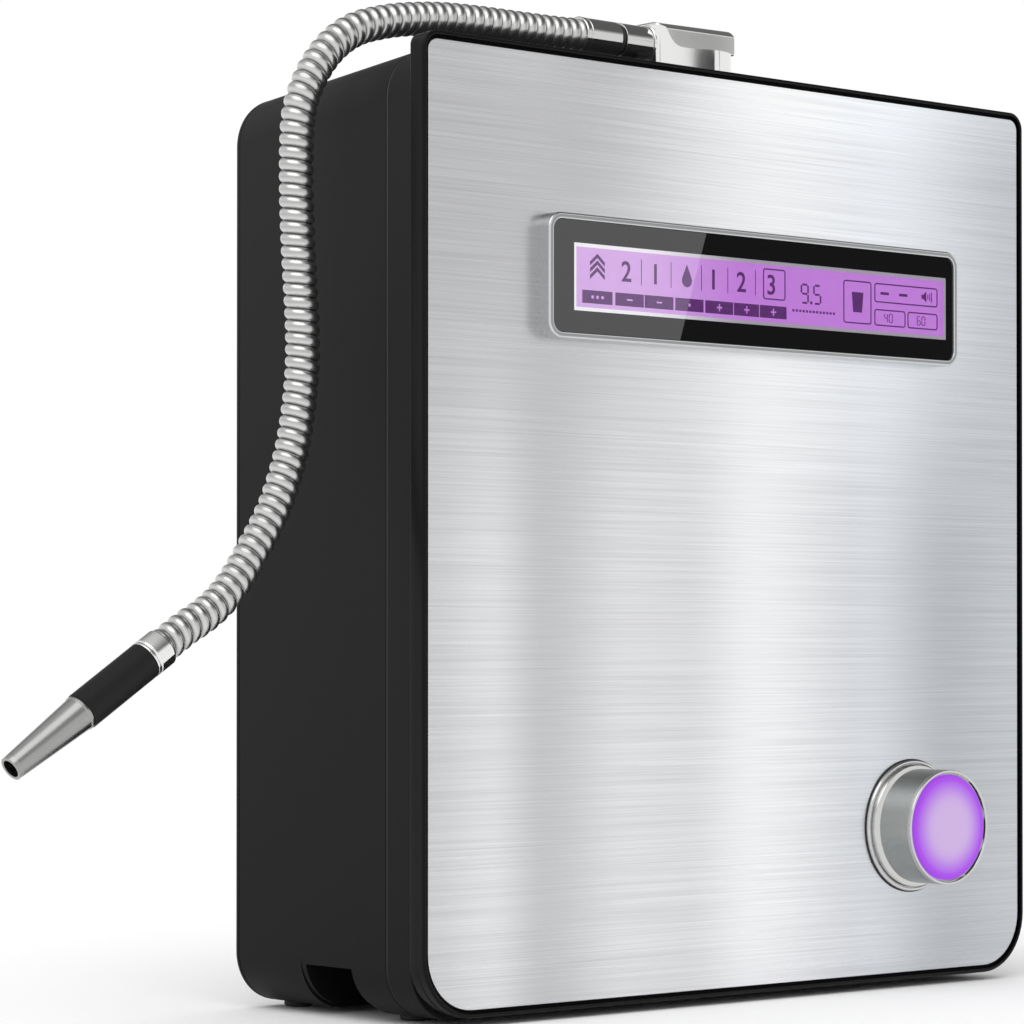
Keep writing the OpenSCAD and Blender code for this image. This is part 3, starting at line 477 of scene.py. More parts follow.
def moulded(name, colour, smooth, rough, grain=1800.0, height=0.02, specular=0.5, glow=None, rise=1.0):
    """Moulded plastic or rubber, or ink with light behind it; rise paints light on it, lighter upwards and
    darker downwards.
    """
    made = Finish(name, specular=specular)
    if glow:
        made.set(emission_color=(*glow, 1), emission_strength=1.0)
    texture = made.group("grain", Vector=made.place, Grain=grain, Smooth=smooth, Rough=rough)
    made.bump(texture["Height"], height, 0.35)
    tone = made.mix(shade(colour, 0.8), shade(colour, 1.2), texture["Tone"])
    # Painted light and shade: the colour darkens towards the bottom and lightens towards the top
    if rise != 1.0:
        tone = made.times(tone, made.grey(made.between(made.axis("Z"), 0, CASING_TOP_Z, 1 / rise, rise)))
    return made.set(base_color=tone, roughness=texture["Roughness"])


def polished(name, colour, clean, wiped):
    """Plated or polished metal."""
    made = Finish(name, metallic=1.0)
    wear = made.group("handling", Vector=made.place, Size=40.0, Clean=clean, Wiped=wiped)
    worn = made.between(wear["Roughness"], clean, wiped)
    return made.set(base_color=made.mix(colour, shade(colour, 0.93), worn), roughness=wear["Roughness"])


def hose_plating(colour):
    """Plating of the ribbed hose, with painted shade between its ribs, painted highlights on their flanks and
    a darker painted reflection along their crests.
    """
    made = Finish("Hose plating", metallic=1.0)
    height = made.node("ShaderNodeAttribute", {"attribute_name": RIB_HEIGHT}).outputs["Fac"]
    wear = made.group("handling", Vector=made.place, Size=120.0, Clean=0.24, Wiped=0.32)
    # Painted shade in the grooves, painted highlight on the rib flanks, darker painted reflection on the
    # crests
    painted_rib_shade = made.ramp(height, ((0.0, 0.20), (0.12, 0.55), (0.42, 0.77), (0.75, 0.66), (1.0, 0.53)), "LINEAR")
    return made.set(base_color=made.times(painted_rib_shade, colour), roughness=wear["Roughness"])


def brushed(name, colour, roughness, scale, depth=0.12):
    """Metal with fine lines along the axis whose scale is small."""
    made = Finish(name, metallic=1.0)
    lines = made.group("lines", Vector=made.mapped(scale))
    made.bump(lines["Lines"], 0.01, 0.25)
    return made.set(base_color=made.mix(shade(colour, 1 - depth), shade(colour, 1 + depth), lines["Lines"]),
                    roughness=made.between(lines["Bands"], 0.3, 0.7, roughness * 0.85, roughness * 1.15))


def steel_front(colour):
    """Brushed steel sheet with long level scratches, painted upright reflection bands and a painted top
    highlight.
    """
    made = Finish("Brushed steel", metallic=1.0)
    across = made.between(made.axis("X"), mm(-150), mm(150))
    # Painted reflection: upright bands of light and shade across the sheet, one set low and one high, blended
    # by height
    low = made.ramp(across, (
        (0.0, 0.64), (0.10, 0.77), (0.18, 0.60), (0.31, 0.765), (0.40, 0.75), (0.52, 0.91), (0.70, 0.735),
        (0.86, 0.53), (1.0, 0.60)))
    high = made.ramp(across, ((0.0, 0.54), (0.20, 0.57), (0.56, 0.94), (0.72, 0.90), (1.0, 0.60)))
    height = made.between(made.axis("Z"), mm(140), mm(270), smooth=True)
    lines = made.group("lines", Vector=made.mapped((11, 1, 1700)))
    scratch = made.between(lines["Lines"], 0.25, 0.75, 0.88, 1.12)
    # Painted highlight that lightens the sheet towards its top
    painted_top_light = made.between(made.axis("Z"), mm(300), mm(330), 1.0, 1.14, smooth=True)
    cool = (colour[0] * 0.965, colour[1] * 0.99, min(1, colour[2] * 1.02))
    tint = made.mix(colour, cool, made.between(across, 0.55, 0.75, smooth=True))
    painted_reflection_bands = made.times(made.mix(low, high, height), tint)
    made.bump(lines["Lines"], 0.02, 0.2)
    return made.set(base_color=made.times(painted_reflection_bands, made.grey(made.math("MULTIPLY", scratch, painted_top_light))),
                    roughness=made.between(lines["Bands"], 0.3, 0.7, 0.26, 0.33))


def lit_window(name, light, wash):
    """Back-lit window that pales towards one end."""
    made = Finish(name, roughness=0.35, emission_strength=1.0, base_color=(0.02, 0.01, 0.03, 1))
    glow = made.mix(wash, light, made.between(made.axis("X"), mm(-62), 0, smooth=True))
    dim = made.between(made.noise(made.mapped((60, 60, 60))), 0.2, 0.8, 0.97, 1.03)
    return made.set(emission_color=made.times(glow, made.grey(dim)))


def lit_lens(rim, middle):
    """Lit lens, pale in the middle and deep at its rim."""
    _, high, centre = span("knob_lens")
    made = Finish("Lit lens", roughness=0.3, emission_strength=1.0, specular=0.2,
                  base_color=(0.03, 0.01, 0.05, 1))
    offset = made.vector("MULTIPLY", made.vector("SUBTRACT", made.place, centre)[0], (1, 0, 1))[0]
    share = made.between(made.vector("LENGTH", offset)["Value"], 0, high.x - centre.x)
    stops = ((0.0, middle), (0.3, middle), (0.55, middle), (0.84, rim), (0.95, rim), (1.0, shade(rim, 0.75)))
    return made.set(emission_color=made.ramp(share, stops, "B_SPLINE"))


def clear_glass():
    """Clear pane with a faintly uneven tint."""
    made = Finish("Clear pane", roughness=0.0, transmission_weight=1.0, ior=1.45)
    tint = made.noise(made.mapped((30, 30, 30)))
    return made.set(base_color=made.mix((0.97, 0.97, 0.98), (1, 1, 1), tint))


def make_finishes(colours):
    """Every finish by name."""
    GROUPS.update(grain=moulded_grain(), lines=brushed_lines(), handling=handling())
    colour = {name: tuple(getattr(colours, name)) for name in colours.__annotations__}
    MATERIALS.update(
        steel=steel_front(colour["steel"]),
        gloss_black=moulded("Gloss black", colour["gloss_black"], 0.20, 0.30, 600.0, 0.005, 0.12),
        # The casing's black carries painted light: lighter towards its top, darker towards its bottom
        matte_black=moulded("Matte black", colour["matte_black"], 0.42, 0.56, 1500.0, 0.03, 0.11, rise=1.8),
        # Lighter grey for the parting groove: a painted highlight line along the seam, with painted light
        # rising upwards
        seam_grey=moulded("Seam grey", (0.030, 0.030, 0.031), 0.5, 0.7, 1500.0, 0.02, 0.3, rise=1.5),
        chrome=polished("Chrome", colour["chrome"], 0.06, 0.12),
        # A darker copy of the chrome: painted shade on the collar, the flange and the knob's trim
        dark_chrome=polished("Dark chrome", shade(colour["chrome"], 0.75), 0.06, 0.12),
        satin=polished("Satin plating", shade(colour["chrome"], 0.43), 0.2, 0.28),
        hose=hose_plating(colour["chrome"]),
        nickel=brushed("Satin nickel", colour["nickel"], 0.26, (90, 12, 90)),
        silver=brushed("Silver trim", colour["silver"], 0.26, (15, 900, 900), 0.05),
        # A darker copy of the silver: painted shade on the bezel's rim face
        band=brushed("Trim band", shade(colour["silver"], 0.5), 0.3, (15, 900, 900), 0.05),
        # Near-black, nearly unlit finish for rings that stand in for shade in gaps
        gasket=moulded("Gasket", (0.004, 0.004, 0.004), 0.7, 0.9, 900.0, 0.02, 0.05),
        glass_black=moulded("Black glass", colour["gloss_black"], 0.0, 0.0, 300.0, 0.0, 1.0),
        pane=clear_glass(),
        window=lit_window("Lit window", colour["window_light"], colour["window_wash"]),
        mark=moulded("Window mark", colour["mark"], 0.4, 0.6, glow=colour["mark"]),
        window_edge=lit_window("Lit edge", (0.33, 0.30, 0.36), (0.84, 0.82, 0.86)),
        lens=lit_lens(colour["lens_rim"], colour["lens_middle"]),
        rubber=moulded("Rubber", (0.018, 0.018, 0.018), 0.6, 0.8, 900.0, 0.04),
        grip=moulded("Grip sleeve", (0.008, 0.008, 0.008), 0.45, 0.6, 1200.0, 0.03, 0.2),
        circuit=moulded("Circuit board", (0.02, 0.16, 0.06), 0.35, 0.5),
        white_plastic=moulded("White plastic", (0.72, 0.72, 0.69), 0.35, 0.5),
        grey_plastic=moulded("Grey plastic", (0.34, 0.35, 0.37), 0.35, 0.5),
        silicone=moulded("Silicone tube", (0.66, 0.68, 0.70), 0.3, 0.45),
        zinc=brushed("Zinc plate", (0.56, 0.58, 0.60), 0.38, (400, 400, 400), 0.08),
        screw=polished("Screw steel", (0.42, 0.42, 0.43), 0.22, 0.34),
        brass=polished("Brass", (0.72, 0.52, 0.22), 0.18, 0.3),
        titanium=brushed("Titanium", (0.46, 0.45, 0.43), 0.4, (10, 900, 900), 0.1),
    )


# Stage

CAMERA_PLACE = mm(-919.04, -970.95, 129.61)
CAMERA_YAW, CAMERA_PITCH = math.radians(41.54), math.radians(0.6)
CAMERA_LENS = 128.04
CAMERA_SHIFT = (-0.0257, 0.0871)
LAMP_PLACE, LAMP_AIM = Vector((-1.2, -0.6, 1.8)), Vector((0, 0, 0.2))
# How far a mirrored card stands from the face that mirrors it
CARD_REACH = 0.9


def mirrored(x, y, z):
    """Where a card stands that the camera sees mirrored at a point of an upright face, in millimetres."""
    point = mm(x, y, z)
    ray = point - CAMERA_PLACE
    ray.y = -ray.y
    return point + ray * (CARD_REACH / ray.length)


# Cards that only perfectly smooth glass mirrors
GLASS_CARDS = {"Display_card"}
# Cards by name: grey level and corners
CARDS = {
    "Display_card": (
        0.05, [mirrored(x, -50.4, z) for x, z in ((-41.3, 222), (116, 222), (116, 283), (-20.8, 283))]),
    "Outlet_card": (0.30, [mirrored(x, -13.4, z) for x, z in corners_of(-14, 32, 338, 362)]),
    "Outlet_strip": (0.06, [mm(x, -166, z) for x, z in corners_of(26, 84, 354, 372)]),
    "Knob_card": (1.0, [mm(x, -150, z) for x, z in corners_of(0, 175, 85, 165)]),
    "Outlet_half": (0.30, [mm(x, -166, z) for x, z in corners_of(-60, -24, 354, 372)]),
}


class IONIZER_OT_stage(bpy.types.Operator):
    """Make the finishes, camera, floor, world, lamp and cards"""

    bl_idname = "ionizer.stage"
    bl_label = "Stage"

    def execute(self, context):
        make_finishes(context.scene.ionizer_colours)
        context.scene.view_settings.view_transform = "Standard"
        context.scene.camera = self.camera()
        context.scene.world = self.world()
        self.floor()
        self.lamp()
        self.cards()
        return {"FINISHED"}

    def camera(self):
        data = bpy.data.cameras.new("Camera")
        data.sensor_width, data.lens = 36, CAMERA_LENS
        data.shift_x, data.shift_y = CAMERA_SHIFT
        data.clip_start, data.clip_end = 0.01, 100
        camera = linked("Camera", data)
        level, rise = math.cos(CAMERA_PITCH), math.sin(CAMERA_PITCH)
        forward = Vector((math.sin(CAMERA_YAW) * level, math.cos(CAMERA_YAW) * level, rise))
        camera.rotation_euler = forward.to_track_quat("-Z", "Y").to_euler()
        camera.location = CAMERA_PLACE
        return camera

    def floor(self):
        bm = bmesh.new()
        bmesh.ops.create_circle(bm, cap_ends=True, radius=30, segments=64)
        mesh = as_mesh(bm, "Floor")
        made = Finish("Pale floor", roughness=0.9, specular=0.0)
        speckle = made.noise(made.mapped((40, 40, 40)))
        made.set(base_color=made.mix((0.96, 0.96, 0.96), (0.98, 0.98, 0.98), speckle))
        # Far from the object the floor is the white background; near it, it takes the shadow
        away = made.between(made.vector("LENGTH", made.place)["Value"], 0.2, 0.75, smooth=True)
        backdrop = made.node("ShaderNodeEmission").outputs[0]
        made.show(made.either(away, made.shader.outputs[0], backdrop))
        mesh.materials.append(made.material)
        floor = linked("Floor", mesh)

    def world(self):
        world = bpy.data.worlds.new("Studio")
        world.use_nodes = True
        world.node_tree.nodes.clear()
        made = Nodes(world.node_tree)
        # What is seen is white round the horizon, and overhead greyer on the left and dark on the right
        towards = made.node("ShaderNodeTexCoord").outputs["Generated"]
        direction = made.node("ShaderNodeSeparateXYZ", Vector=towards).outputs
        overhead = made.between(direction["Z"], 0.26, 0.55, smooth=True)
        dark = made.between(direction["X"], -0.25, 0.35, 0.2, 0.85, smooth=True)
        levels = (0.95, made.math("SUBTRACT", 1.0, made.math("MULTIPLY", overhead, dark)))
        soft, seen = (made.node("ShaderNodeBackground", Color=(1, 1, 1, 1), Strength=level).outputs[0]
                      for level in levels)
        path = made.node("ShaderNodeLightPath").outputs
        mirrors = made.math("MAXIMUM", path["Is Glossy Ray"], path["Is Transmission Ray"])
        seen_rays = made.math("MAXIMUM", path["Is Camera Ray"], mirrors)
        made.node("ShaderNodeOutputWorld", Surface=made.either(seen_rays, soft, seen))
        return world

    def lamp(self):
        data = bpy.data.lights.new("Softbox", "AREA")
        data.shape, data.size, data.size_y, data.energy = "ELLIPSE", 2.6, 1.8, 14
        lamp = linked("Softbox", data)
        lamp.location = LAMP_PLACE
        lamp.rotation_euler = (LAMP_AIM - LAMP_PLACE).to_track_quat("-Z", "Y").to_euler()

    def cards(self):
        """Cards that only glass and plating mirror."""
        for name, (grey, corners) in CARDS.items():
            bm = bmesh.new()
            bm.faces.new([bm.verts.new(corner) for corner in corners])
            mesh = as_mesh(bm, name)
            made = Finish(name)
            card = made.node("ShaderNodeEmission", Color=(grey, grey, grey, 1)).outputs[0]
            if name in GLASS_CARDS:
                sharp = made.node("ShaderNodeLightPath").outputs["Is Singular Ray"]
                card = made.either(sharp, made.node("ShaderNodeBsdfTransparent").outputs[0], card)
            made.show(card)
            mesh.materials.append(made.material)
            obj = linked(name, mesh)
            obj.visible_camera = obj.visible_diffuse = obj.visible_shadow = False


# Spout

# Steps of the hose's middle line to the side and down from the collar's face, in millimetres
HOSE_ROUTE = (
    (0, 0), (-8, -0.4), (-27, -0.7), (-46, -0.9), (-63.5, -1.6), (-80.2, -3.7), (-92, -6.3), (-101.5, -9.5),
    (-110, -14.9), (-116.8, -22), (-122.3, -30.9), (-125.5, -40.2), (-126.4, -50.5), (-126.5, -65),
    (-126, -80), (-125, -96), (-124, -111), (-124, -125), (-125.5, -139), (-128.6, -154), (-133.8, -168.7),
    (-139.4, -179.3), (-145.6, -188.5), (-151.8, -197.1), (-158.5, -204.2), (-165.5, -209.3),
    (-172.2, -213.0), (-181.6, -219.2))
COLLAR_FACE = mm(-45, -5, 346.3)
HOSE_RADIUS = mm(5.9)
FINE_STEPS = 6
# Radius of a rib's arc, as a share of half the distance from rib to rib
RIB_ARC = 1.1
FERRULE_LENGTH, GRIP_LENGTH = 8, 29.4


class HoseLine:
    """The smooth line through the hose's route, measured along its length."""

    def __init__(self):
        route = [COLLAR_FACE + mm(dx, 0, dz) for dx, dz in HOSE_ROUTE]
        self.end_heading = (route[-1] - route[-2]).normalized()
        self.points = []
        for i in range(len(route) - 1):
            a, b, c, d = (route[min(max(k, 0), len(route) - 1)] for k in (i - 1, i, i + 1, i + 2))
            for step in range(FINE_STEPS):
                t = step / FINE_STEPS
                self.points.append(0.5 * (2 * b + (c - a) * t + (2 * a - 5 * b + 4 * c - d) * t * t
                                          + (3 * b - a - 3 * c + d) * t ** 3))
        self.points.append(route[-1])
        self.marks = [0.0]
        for a, b in zip(self.points, self.points[1:]):
            self.marks.append(self.marks[-1] + (b - a).length)
        self.length = self.marks[-1]

    def at(self, s):
        s = min(max(s, 0), self.length)
        i = min(max(bisect.bisect_right(self.marks, s) - 1, 0), len(self.points) - 2)
        share = (s - self.marks[i]) / (self.marks[i + 1] - self.marks[i])
        return self.points[i].lerp(self.points[i + 1], share)

    def heading(self, s):
        reach = mm(1.5)
        return (self.at(s + reach) - self.at(s - reach)).normalized()


def rib(share):
    """Height of a rib from 0 to 1 at a share of the way over it: an arc."""
    foot = math.sqrt(RIB_ARC ** 2 - 1)
    return (math.sqrt(RIB_ARC ** 2 - (2 * share - 1) ** 2) - foot) / (RIB_ARC - foot)


class IONIZER_OT_hose(bpy.types.Operator):
    """Wind the ribbed hose along its route, with the nozzle at its end"""

    bl_idname = "ionizer.hose"
    bl_label = "Hose"

    def execute(self, context):
        line = HoseLine()
        wound = self.wound(line, context.scene.ionizer_sizes)
        hose = piece(wound, "spiral_hose", "spout", "hose", "chrome", "spout_hose", even=False)
        ends = self.nozzle(line)
        path = [line.at(line.length * k / 60) for k in range(61)]
        return {"FINISHED"}

    def wound(self, line, sizes):
        """Grid rolled up round the line, with its ribs on a helix."""
        sides, rings = sizes.hose_sides, sizes.rings_per_rib
        ribs = round(line.length / sizes.rib_pitch)
        pitch = line.length / ribs
        bm = bmesh.new()
        # One more rib than the length holds, because each turn of the winding starts a rib late
        bmesh.ops.create_grid(bm, x_segments=(ribs + 1) * rings, y_segments=sides, size=0.5)
        height = bm.verts.layers.float.new(RIB_HEIGHT)
        for vert in bm.verts:
            along = round((vert.co.x + 0.5) * (ribs + 1) * rings) / rings
            turn = round((vert.co.y + 0.5) * sides) / sides
            s = (along + turn - 1) * pitch
            inside = 0 < s < line.length
            radius = HOSE_RADIUS - sizes.rib_depth * (1 - rib(along % 1) if inside else 1)
            vert[height] = 1 - abs(2 * (along % 1) - 1)
            across = Y_AXIS.cross(line.heading(s))
            angle = math.tau * turn
            vert.co = line.at(s) + radius * (math.cos(angle) * Y_AXIS + math.sin(angle) * across)
        bmesh.ops.remove_doubles(bm, verts=bm.verts[:], dist=CUT_WELD)
        bmesh.ops.dissolve_degenerate(bm, dist=CUT_WELD, edges=bm.edges[:])
        bmesh.ops.holes_fill(bm, edges=[e for e in bm.edges if e.is_boundary], sides=0)
        bmesh.ops.recalc_face_normals(bm, faces=bm.faces[:])
        return bm

    def nozzle(self, line):
        """Ferrule, grip sleeve and tapered tip at the hose's end."""
        start, along = line.points[-1], line.end_heading
        ferrule = turned(
            [(4.2, 0), (6.4, 0), (6.6, 0.6), (6.6, 6.2), (6.3, 6.5), (6.3, 6.9), (6.6, 7.2),
             (6.6, FERRULE_LENGTH), (4.2, FERRULE_LENGTH)], start, along, mm(0.15))
        grip = turned(sleeve(4.2, 6.4, 0, GRIP_LENGTH), start + along * mm(FERRULE_LENGTH), along, mm(0.35))
        tip = turned(
            [(3.1, 0), (6.0, 0), (6.2, 0.5), (6.2, 1.2), (5.95, 1.5), (4.25, 30.2), (4.15, 30.5), (4.15, 32),
             (3.1, 32), (3.1, 18)], start + along * mm(FERRULE_LENGTH + GRIP_LENGTH), along, mm(0.12))
        return [
            piece(ferrule, "ferrule_cup", "spout", "chrome", "chrome", "hose_ferrule"),
            piece(grip, "grip_sleeve", "spout", "grip", "grip_black", "nozzle_grip"),
            piece(tip, "spout_tip", "spout", "satin", "nickel", "nozzle_tip")]


OUTLET_AXIS = mm(12.5, -5, 0)
CAP_FRONT, CAP_BACK = mm(-13.4), mm(3.4)
# Lower edge of the cap's flat sides, sweeping up to the collar's side, as (x, z) in millimetres
CAP_SWEEP = (
    (1.5, 344.9), (-1.6, 345.0), (-2.9, 345.2), (-4.1, 345.65), (-5.1, 346.3), (-6.0, 347.2), (-6.7, 348.2),
    (-7.3, 349.3), (-7.9, 350.6), (-8.6, 351.9))
CAP_RIGHT, CAP_TOP, CAP_LOW = 26.6, 354.7, 345.0
# Place, top and lower end of the cap's end wall in the upright, and the upright's top beneath the cap
CAP_END, CAP_END_TOP, CAP_END_LOW, UNDER_CAP = -8.9, 354.1, 352.6, 351.5
# The cap's top where it meets the upright
CROWN_Z = mm(354.13)
UPRIGHT_LOW, UPRIGHT_HIGH = mm(334.3), mm(354.2)
# Sides of the cutting shapes that lie clear of the outlet, in millimetres
CLEAR_LEFT, CLEAR_RIGHT, CLEAR_FRONT, CLEAR_BACK, CLEAR_TOP = -20, 60, -60, 50, 365


def crown_drop(y, z):
    """How far the crowned top lies lower at one depth and height than in the middle."""
    middle, half = (CAP_FRONT + CAP_BACK) / 2, (CAP_BACK - CAP_FRONT) / 2
    return mm(2.3) * min(max((z - mm(349)) / mm(5.7), 0), 1) * abs((y - middle) / half) ** 5


class IONIZER_OT_outlet(bpy.types.Operator):
    """Build the swivel outlet: base ring, elbow and collar"""

    bl_idname = "ionizer.outlet"
    bl_label = "Outlet"

    def execute(self, context):
        ring = turned(
            [(9.1, 330), (17, 330), (17, 331.6), (15.9, 332.2), (15.5, 332.6), (15.5, 334), (9.1, 334)],
            OUTLET_AXIS, Z_AXIS, mm(0.4))
        piece(ring, "swivel_ring", "body", "chrome", "chrome", "outlet_ring")
        lip = turned(sleeve(6.45, 7.1, 0, 1.1), mm(-12.6, -5, 346.3), X_AXIS, mm(0.3))
        elbow = merged([self.upright(), lip, self.cap()])
        piece(elbow, "swivel_elbow", "spout", "chrome", "chrome", "outlet_elbow")
        collar = turned(
            [(4.2, 0), (6.1, 0), (6.5, 0.4), (6.5, 1.8), (6.1, 2.1), (6.1, 2.5), (6.4, 2.8), (6.4, 17),
             (5.2, 17.2), (5.2, 19.2), (6.4, 19.4), (6.4, 38), (4.2, 38)], COLLAR_FACE, X_AXIS, mm(0.15))
        piece(collar, "swivel_collar", "spout", "dark_chrome", "chrome", "outlet_collar")
        dark_ring = turned(sleeve(5.0, 5.9, 17.3, 19.1), COLLAR_FACE, X_AXIS, mm(0.2))
        piece(dark_ring, "collar_seal", "spout", "rubber", "rubber")
        return {"FINISHED"}

    def upright(self):
        """Upright part with swept cuts at its sides, the cap's crown over its end and the post's bore."""
        end_x, lap, margin, steps = CAP_SWEEP[-1][0], mm(0.1), mm(1), 36
        right = CLEAR_RIGHT
        outline = [*CAP_SWEEP, (end_x, CLEAR_TOP), (right, CLEAR_TOP), (right, CAP_SWEEP[0][1])]
        tools = [prism([(mm(x), y0, mm(z)) for x, z in outline], Y_AXIS * (y1 - y0))
                 for y0, y1 in ((mm(CLEAR_FRONT), CAP_FRONT + lap), (CAP_BACK - lap, mm(CLEAR_BACK)))]
        tools.append(block(mm(end_x, CLEAR_FRONT, UNDER_CAP), mm(right, CLEAR_BACK, CLEAR_TOP)))
        reach = CAP_BACK - CAP_FRONT + 2 * margin
        across = [CAP_FRONT - margin + reach * k / steps for k in range(steps + 1)]
        arch = [(y, CROWN_Z - crown_drop(y, CROWN_Z)) for y in across]
        over = [(across[0], mm(CLEAR_TOP)), *arch, (across[-1], mm(CLEAR_TOP))]
        past_end = mm(end_x + 0.6 - CLEAR_LEFT)
        tools.append(prism([(mm(CLEAR_LEFT), y, z) for y, z in over], X_AXIS * past_end))
        tools.append(turned(sleeve(0, 9.05, 330, 342.6), OUTLET_AXIS, Z_AXIS))
        bm = carved(self.drawn_out(), tools)
        bmesh.ops.remove_doubles(bm, verts=bm.verts[:], dist=CUT_WELD)
        return bm

    def drawn_out(self):
        """Solid round the post, with a straight wall at each side that leads to the collar's end."""
        radius, end_radius, flat = mm(14.4), mm(2.0), 12
        end = mm(-10.1, 5.9) - Vector((OUTLET_AXIS.x, 0))
        other_end = Vector((end.x, -end.y))
        lean = math.atan2(-end.y, -end.x) + math.asin((radius - end_radius) / end.length)
        half = math.pi / 2 + lean
        arcs = []
        for middle, r, start, stop in (
                (Vector((0, 0)), radius, -half, half), (end, end_radius, half, math.pi),
                (other_end, end_radius, math.pi, math.tau - half)):
            steps = max(8, round((stop - start) * 24))
            angles = [start + (stop - start) * k / steps for k in range(steps + 1)]
            arcs.append([middle + r * Vector((math.cos(a), math.sin(a))) for a in angles])
        outline = []
        for arc, after in zip(arcs, arcs[1:] + arcs[:1]):
            outline += arc + [arc[-1].lerp(after[0], k / flat) for k in range(1, flat)]
        bm = prism([(OUTLET_AXIS.x + p.x, OUTLET_AXIS.y + p.y, UPRIGHT_LOW) for p in outline],
                   Z_AXIS * (UPRIGHT_HIGH - UPRIGHT_LOW))
        top = UPRIGHT_HIGH - WELD
        round_edges(bm, mm(1.8), lambda e: is_corner(e) and all(v.co.z > top for v in e.verts), 8)
        return bm

    def cap(self):
        """Flat-sided cap with a crowned top; its swept end lies in the upright."""
        bm = bmesh.new()
        swept = [(x - 0.5, z - 0.4) for x, z in CAP_SWEEP]
        corners = [bm.verts.new((mm(x), CAP_FRONT, mm(z))) for x, z in (
            (CAP_RIGHT, CAP_TOP), (CAP_RIGHT, CAP_LOW), *swept, (CAP_END, CAP_END_LOW),
            (CAP_END, CAP_END_TOP))]
        bm.faces.new(corners[::-1])
        for vert, radius in zip(corners, (1.6, 1.2)):
            round_corners(bm, [vert], mm(radius), 8)
        thicken(bm, Y_AXIS * (CAP_BACK - CAP_FRONT))
        along = [e for e in bm.edges if abs(e.verts[0].co.y - e.verts[1].co.y) > mm(1)]
        bmesh.ops.subdivide_edges(bm, edges=along, cuts=15, use_grid_fill=True)
        for vert in bm.verts:
            vert.co.z -= crown_drop(vert.co.y, vert.co.z)
        bm.normal_update()
        round_edges(bm, mm(0.6), lambda e: at_depth(CAP_FRONT)(e) or at_depth(CAP_BACK)(e), 3)
        return bm


# Front

# Middle of the front, and radii of its pieces' lower and upper corners in millimetres
FRONT_MIDDLE = mm(0, 0, 167)
FRAME_RADII, SHEET_RADII, CARRIER_RADII = (22, 6.5), (19.75, 4.55), (19, 4)
# Depth of the ring of painted shade in the gap round the sheet
GAP_SHADE_DEPTH = (mm(-44), mm(-43.2))


class IONIZER_OT_front(bpy.types.Operator):
    """Build the black frame, a black ring of painted shade in the gap round the sheet, the steel sheet and
    the plate behind them
    """

    bl_idname = "ionizer.front"
    bl_label = "Front"

    def execute(self, context):
        low, high, _ = span("front_frame")
        rim = plate(low, high, FRAME_RADII, rim=mm(1.5))
        round_edges(rim, mm(0.25), at_depth(low.y, FRONT_MIDDLE, outer=False), 2)
        round_edges(rim, context.scene.ionizer_sizes.frame_edge, at_depth(low.y, FRONT_MIDDLE), 4)
        piece(rim, "frame_rim", "body", "gloss_black", "gloss_black", "front_frame")
        # A near-black ring put in the gap between frame and sheet: painted shade
        dark_ring = plate(low, high, FRAME_RADII, inset=mm(1.3), rim=mm(1.6), depth=GAP_SHADE_DEPTH)
        piece(dark_ring, "panel_gasket", "body", "gasket", "rubber")

        low, high, _ = span("front_panel")
        sheet = plate(low, high, SHEET_RADII, inset=mm(0.35))
        round_edges(sheet, mm(0.3), at_depth(low.y), 3)
        piece(sheet, "steel_sheet", "body", "steel", "brushed_steel", "front_panel")

        low, high, _ = span("panel_carrier")
        carrier = plate(low, high, CARRIER_RADII)
        round_edges(carrier, mm(0.5), at_depth(low.y), 3)
        round_edges(carrier, mm(0.8), at_depth(high.y), 3)
        piece(carrier, "carrier_plate", "body", "gloss_black", "gloss_black", "panel_carrier")
        return {"FINISHED"}


# Casing

CASING_SLOPE = 9 / 97.5
CASING_HALF, CASING_CORNER, CASING_WALL = mm(148.5), mm(18), mm(2.5)
CASING_TOP_Z, CASING_MIDDLE_Z, CASING_BOTTOM_Z = mm(330), mm(160), mm(2)
CASING_FRONT_Y, PARTING_Y, COVER_Y, REAR_Y, DOOR_Y = mm(-37.5), mm(-24.3), mm(57.3), mm(60), mm(65)
SEAM_GAP, SEAM_LAP = mm(0.5), mm(1)
# Room inside the hose bay's and the notches' walls
BAY = (mm(-60, -18.8, -1), mm(60, 35.2, 20))
NOTCHES = (mm(-160, -5.5, -1), mm(160, 19.5, 18))


def shell(y0, y1, wall=0.0, inset=0.0):
    """Part of the casing between two depths, drawn in by an inset, or only its wall.

    Its top falls to the rear.
    """
    half = CASING_HALF - inset
    top = CASING_TOP_Z - CASING_SLOPE * (y0 - CASING_FRONT_Y) - inset
    bm = rounded_face((-half, CASING_BOTTOM_Z + inset), (half, top), y0, [CASING_CORNER - inset] * 2, 20)
    if wall:
        hollow(bm, wall)
    for vert in thicken(bm, Y_AXIS * (y1 - y0)):
        if vert.co.z > CASING_MIDDLE_Z:
            vert.co.z -= CASING_SLOPE * (y1 - y0)
    return bm


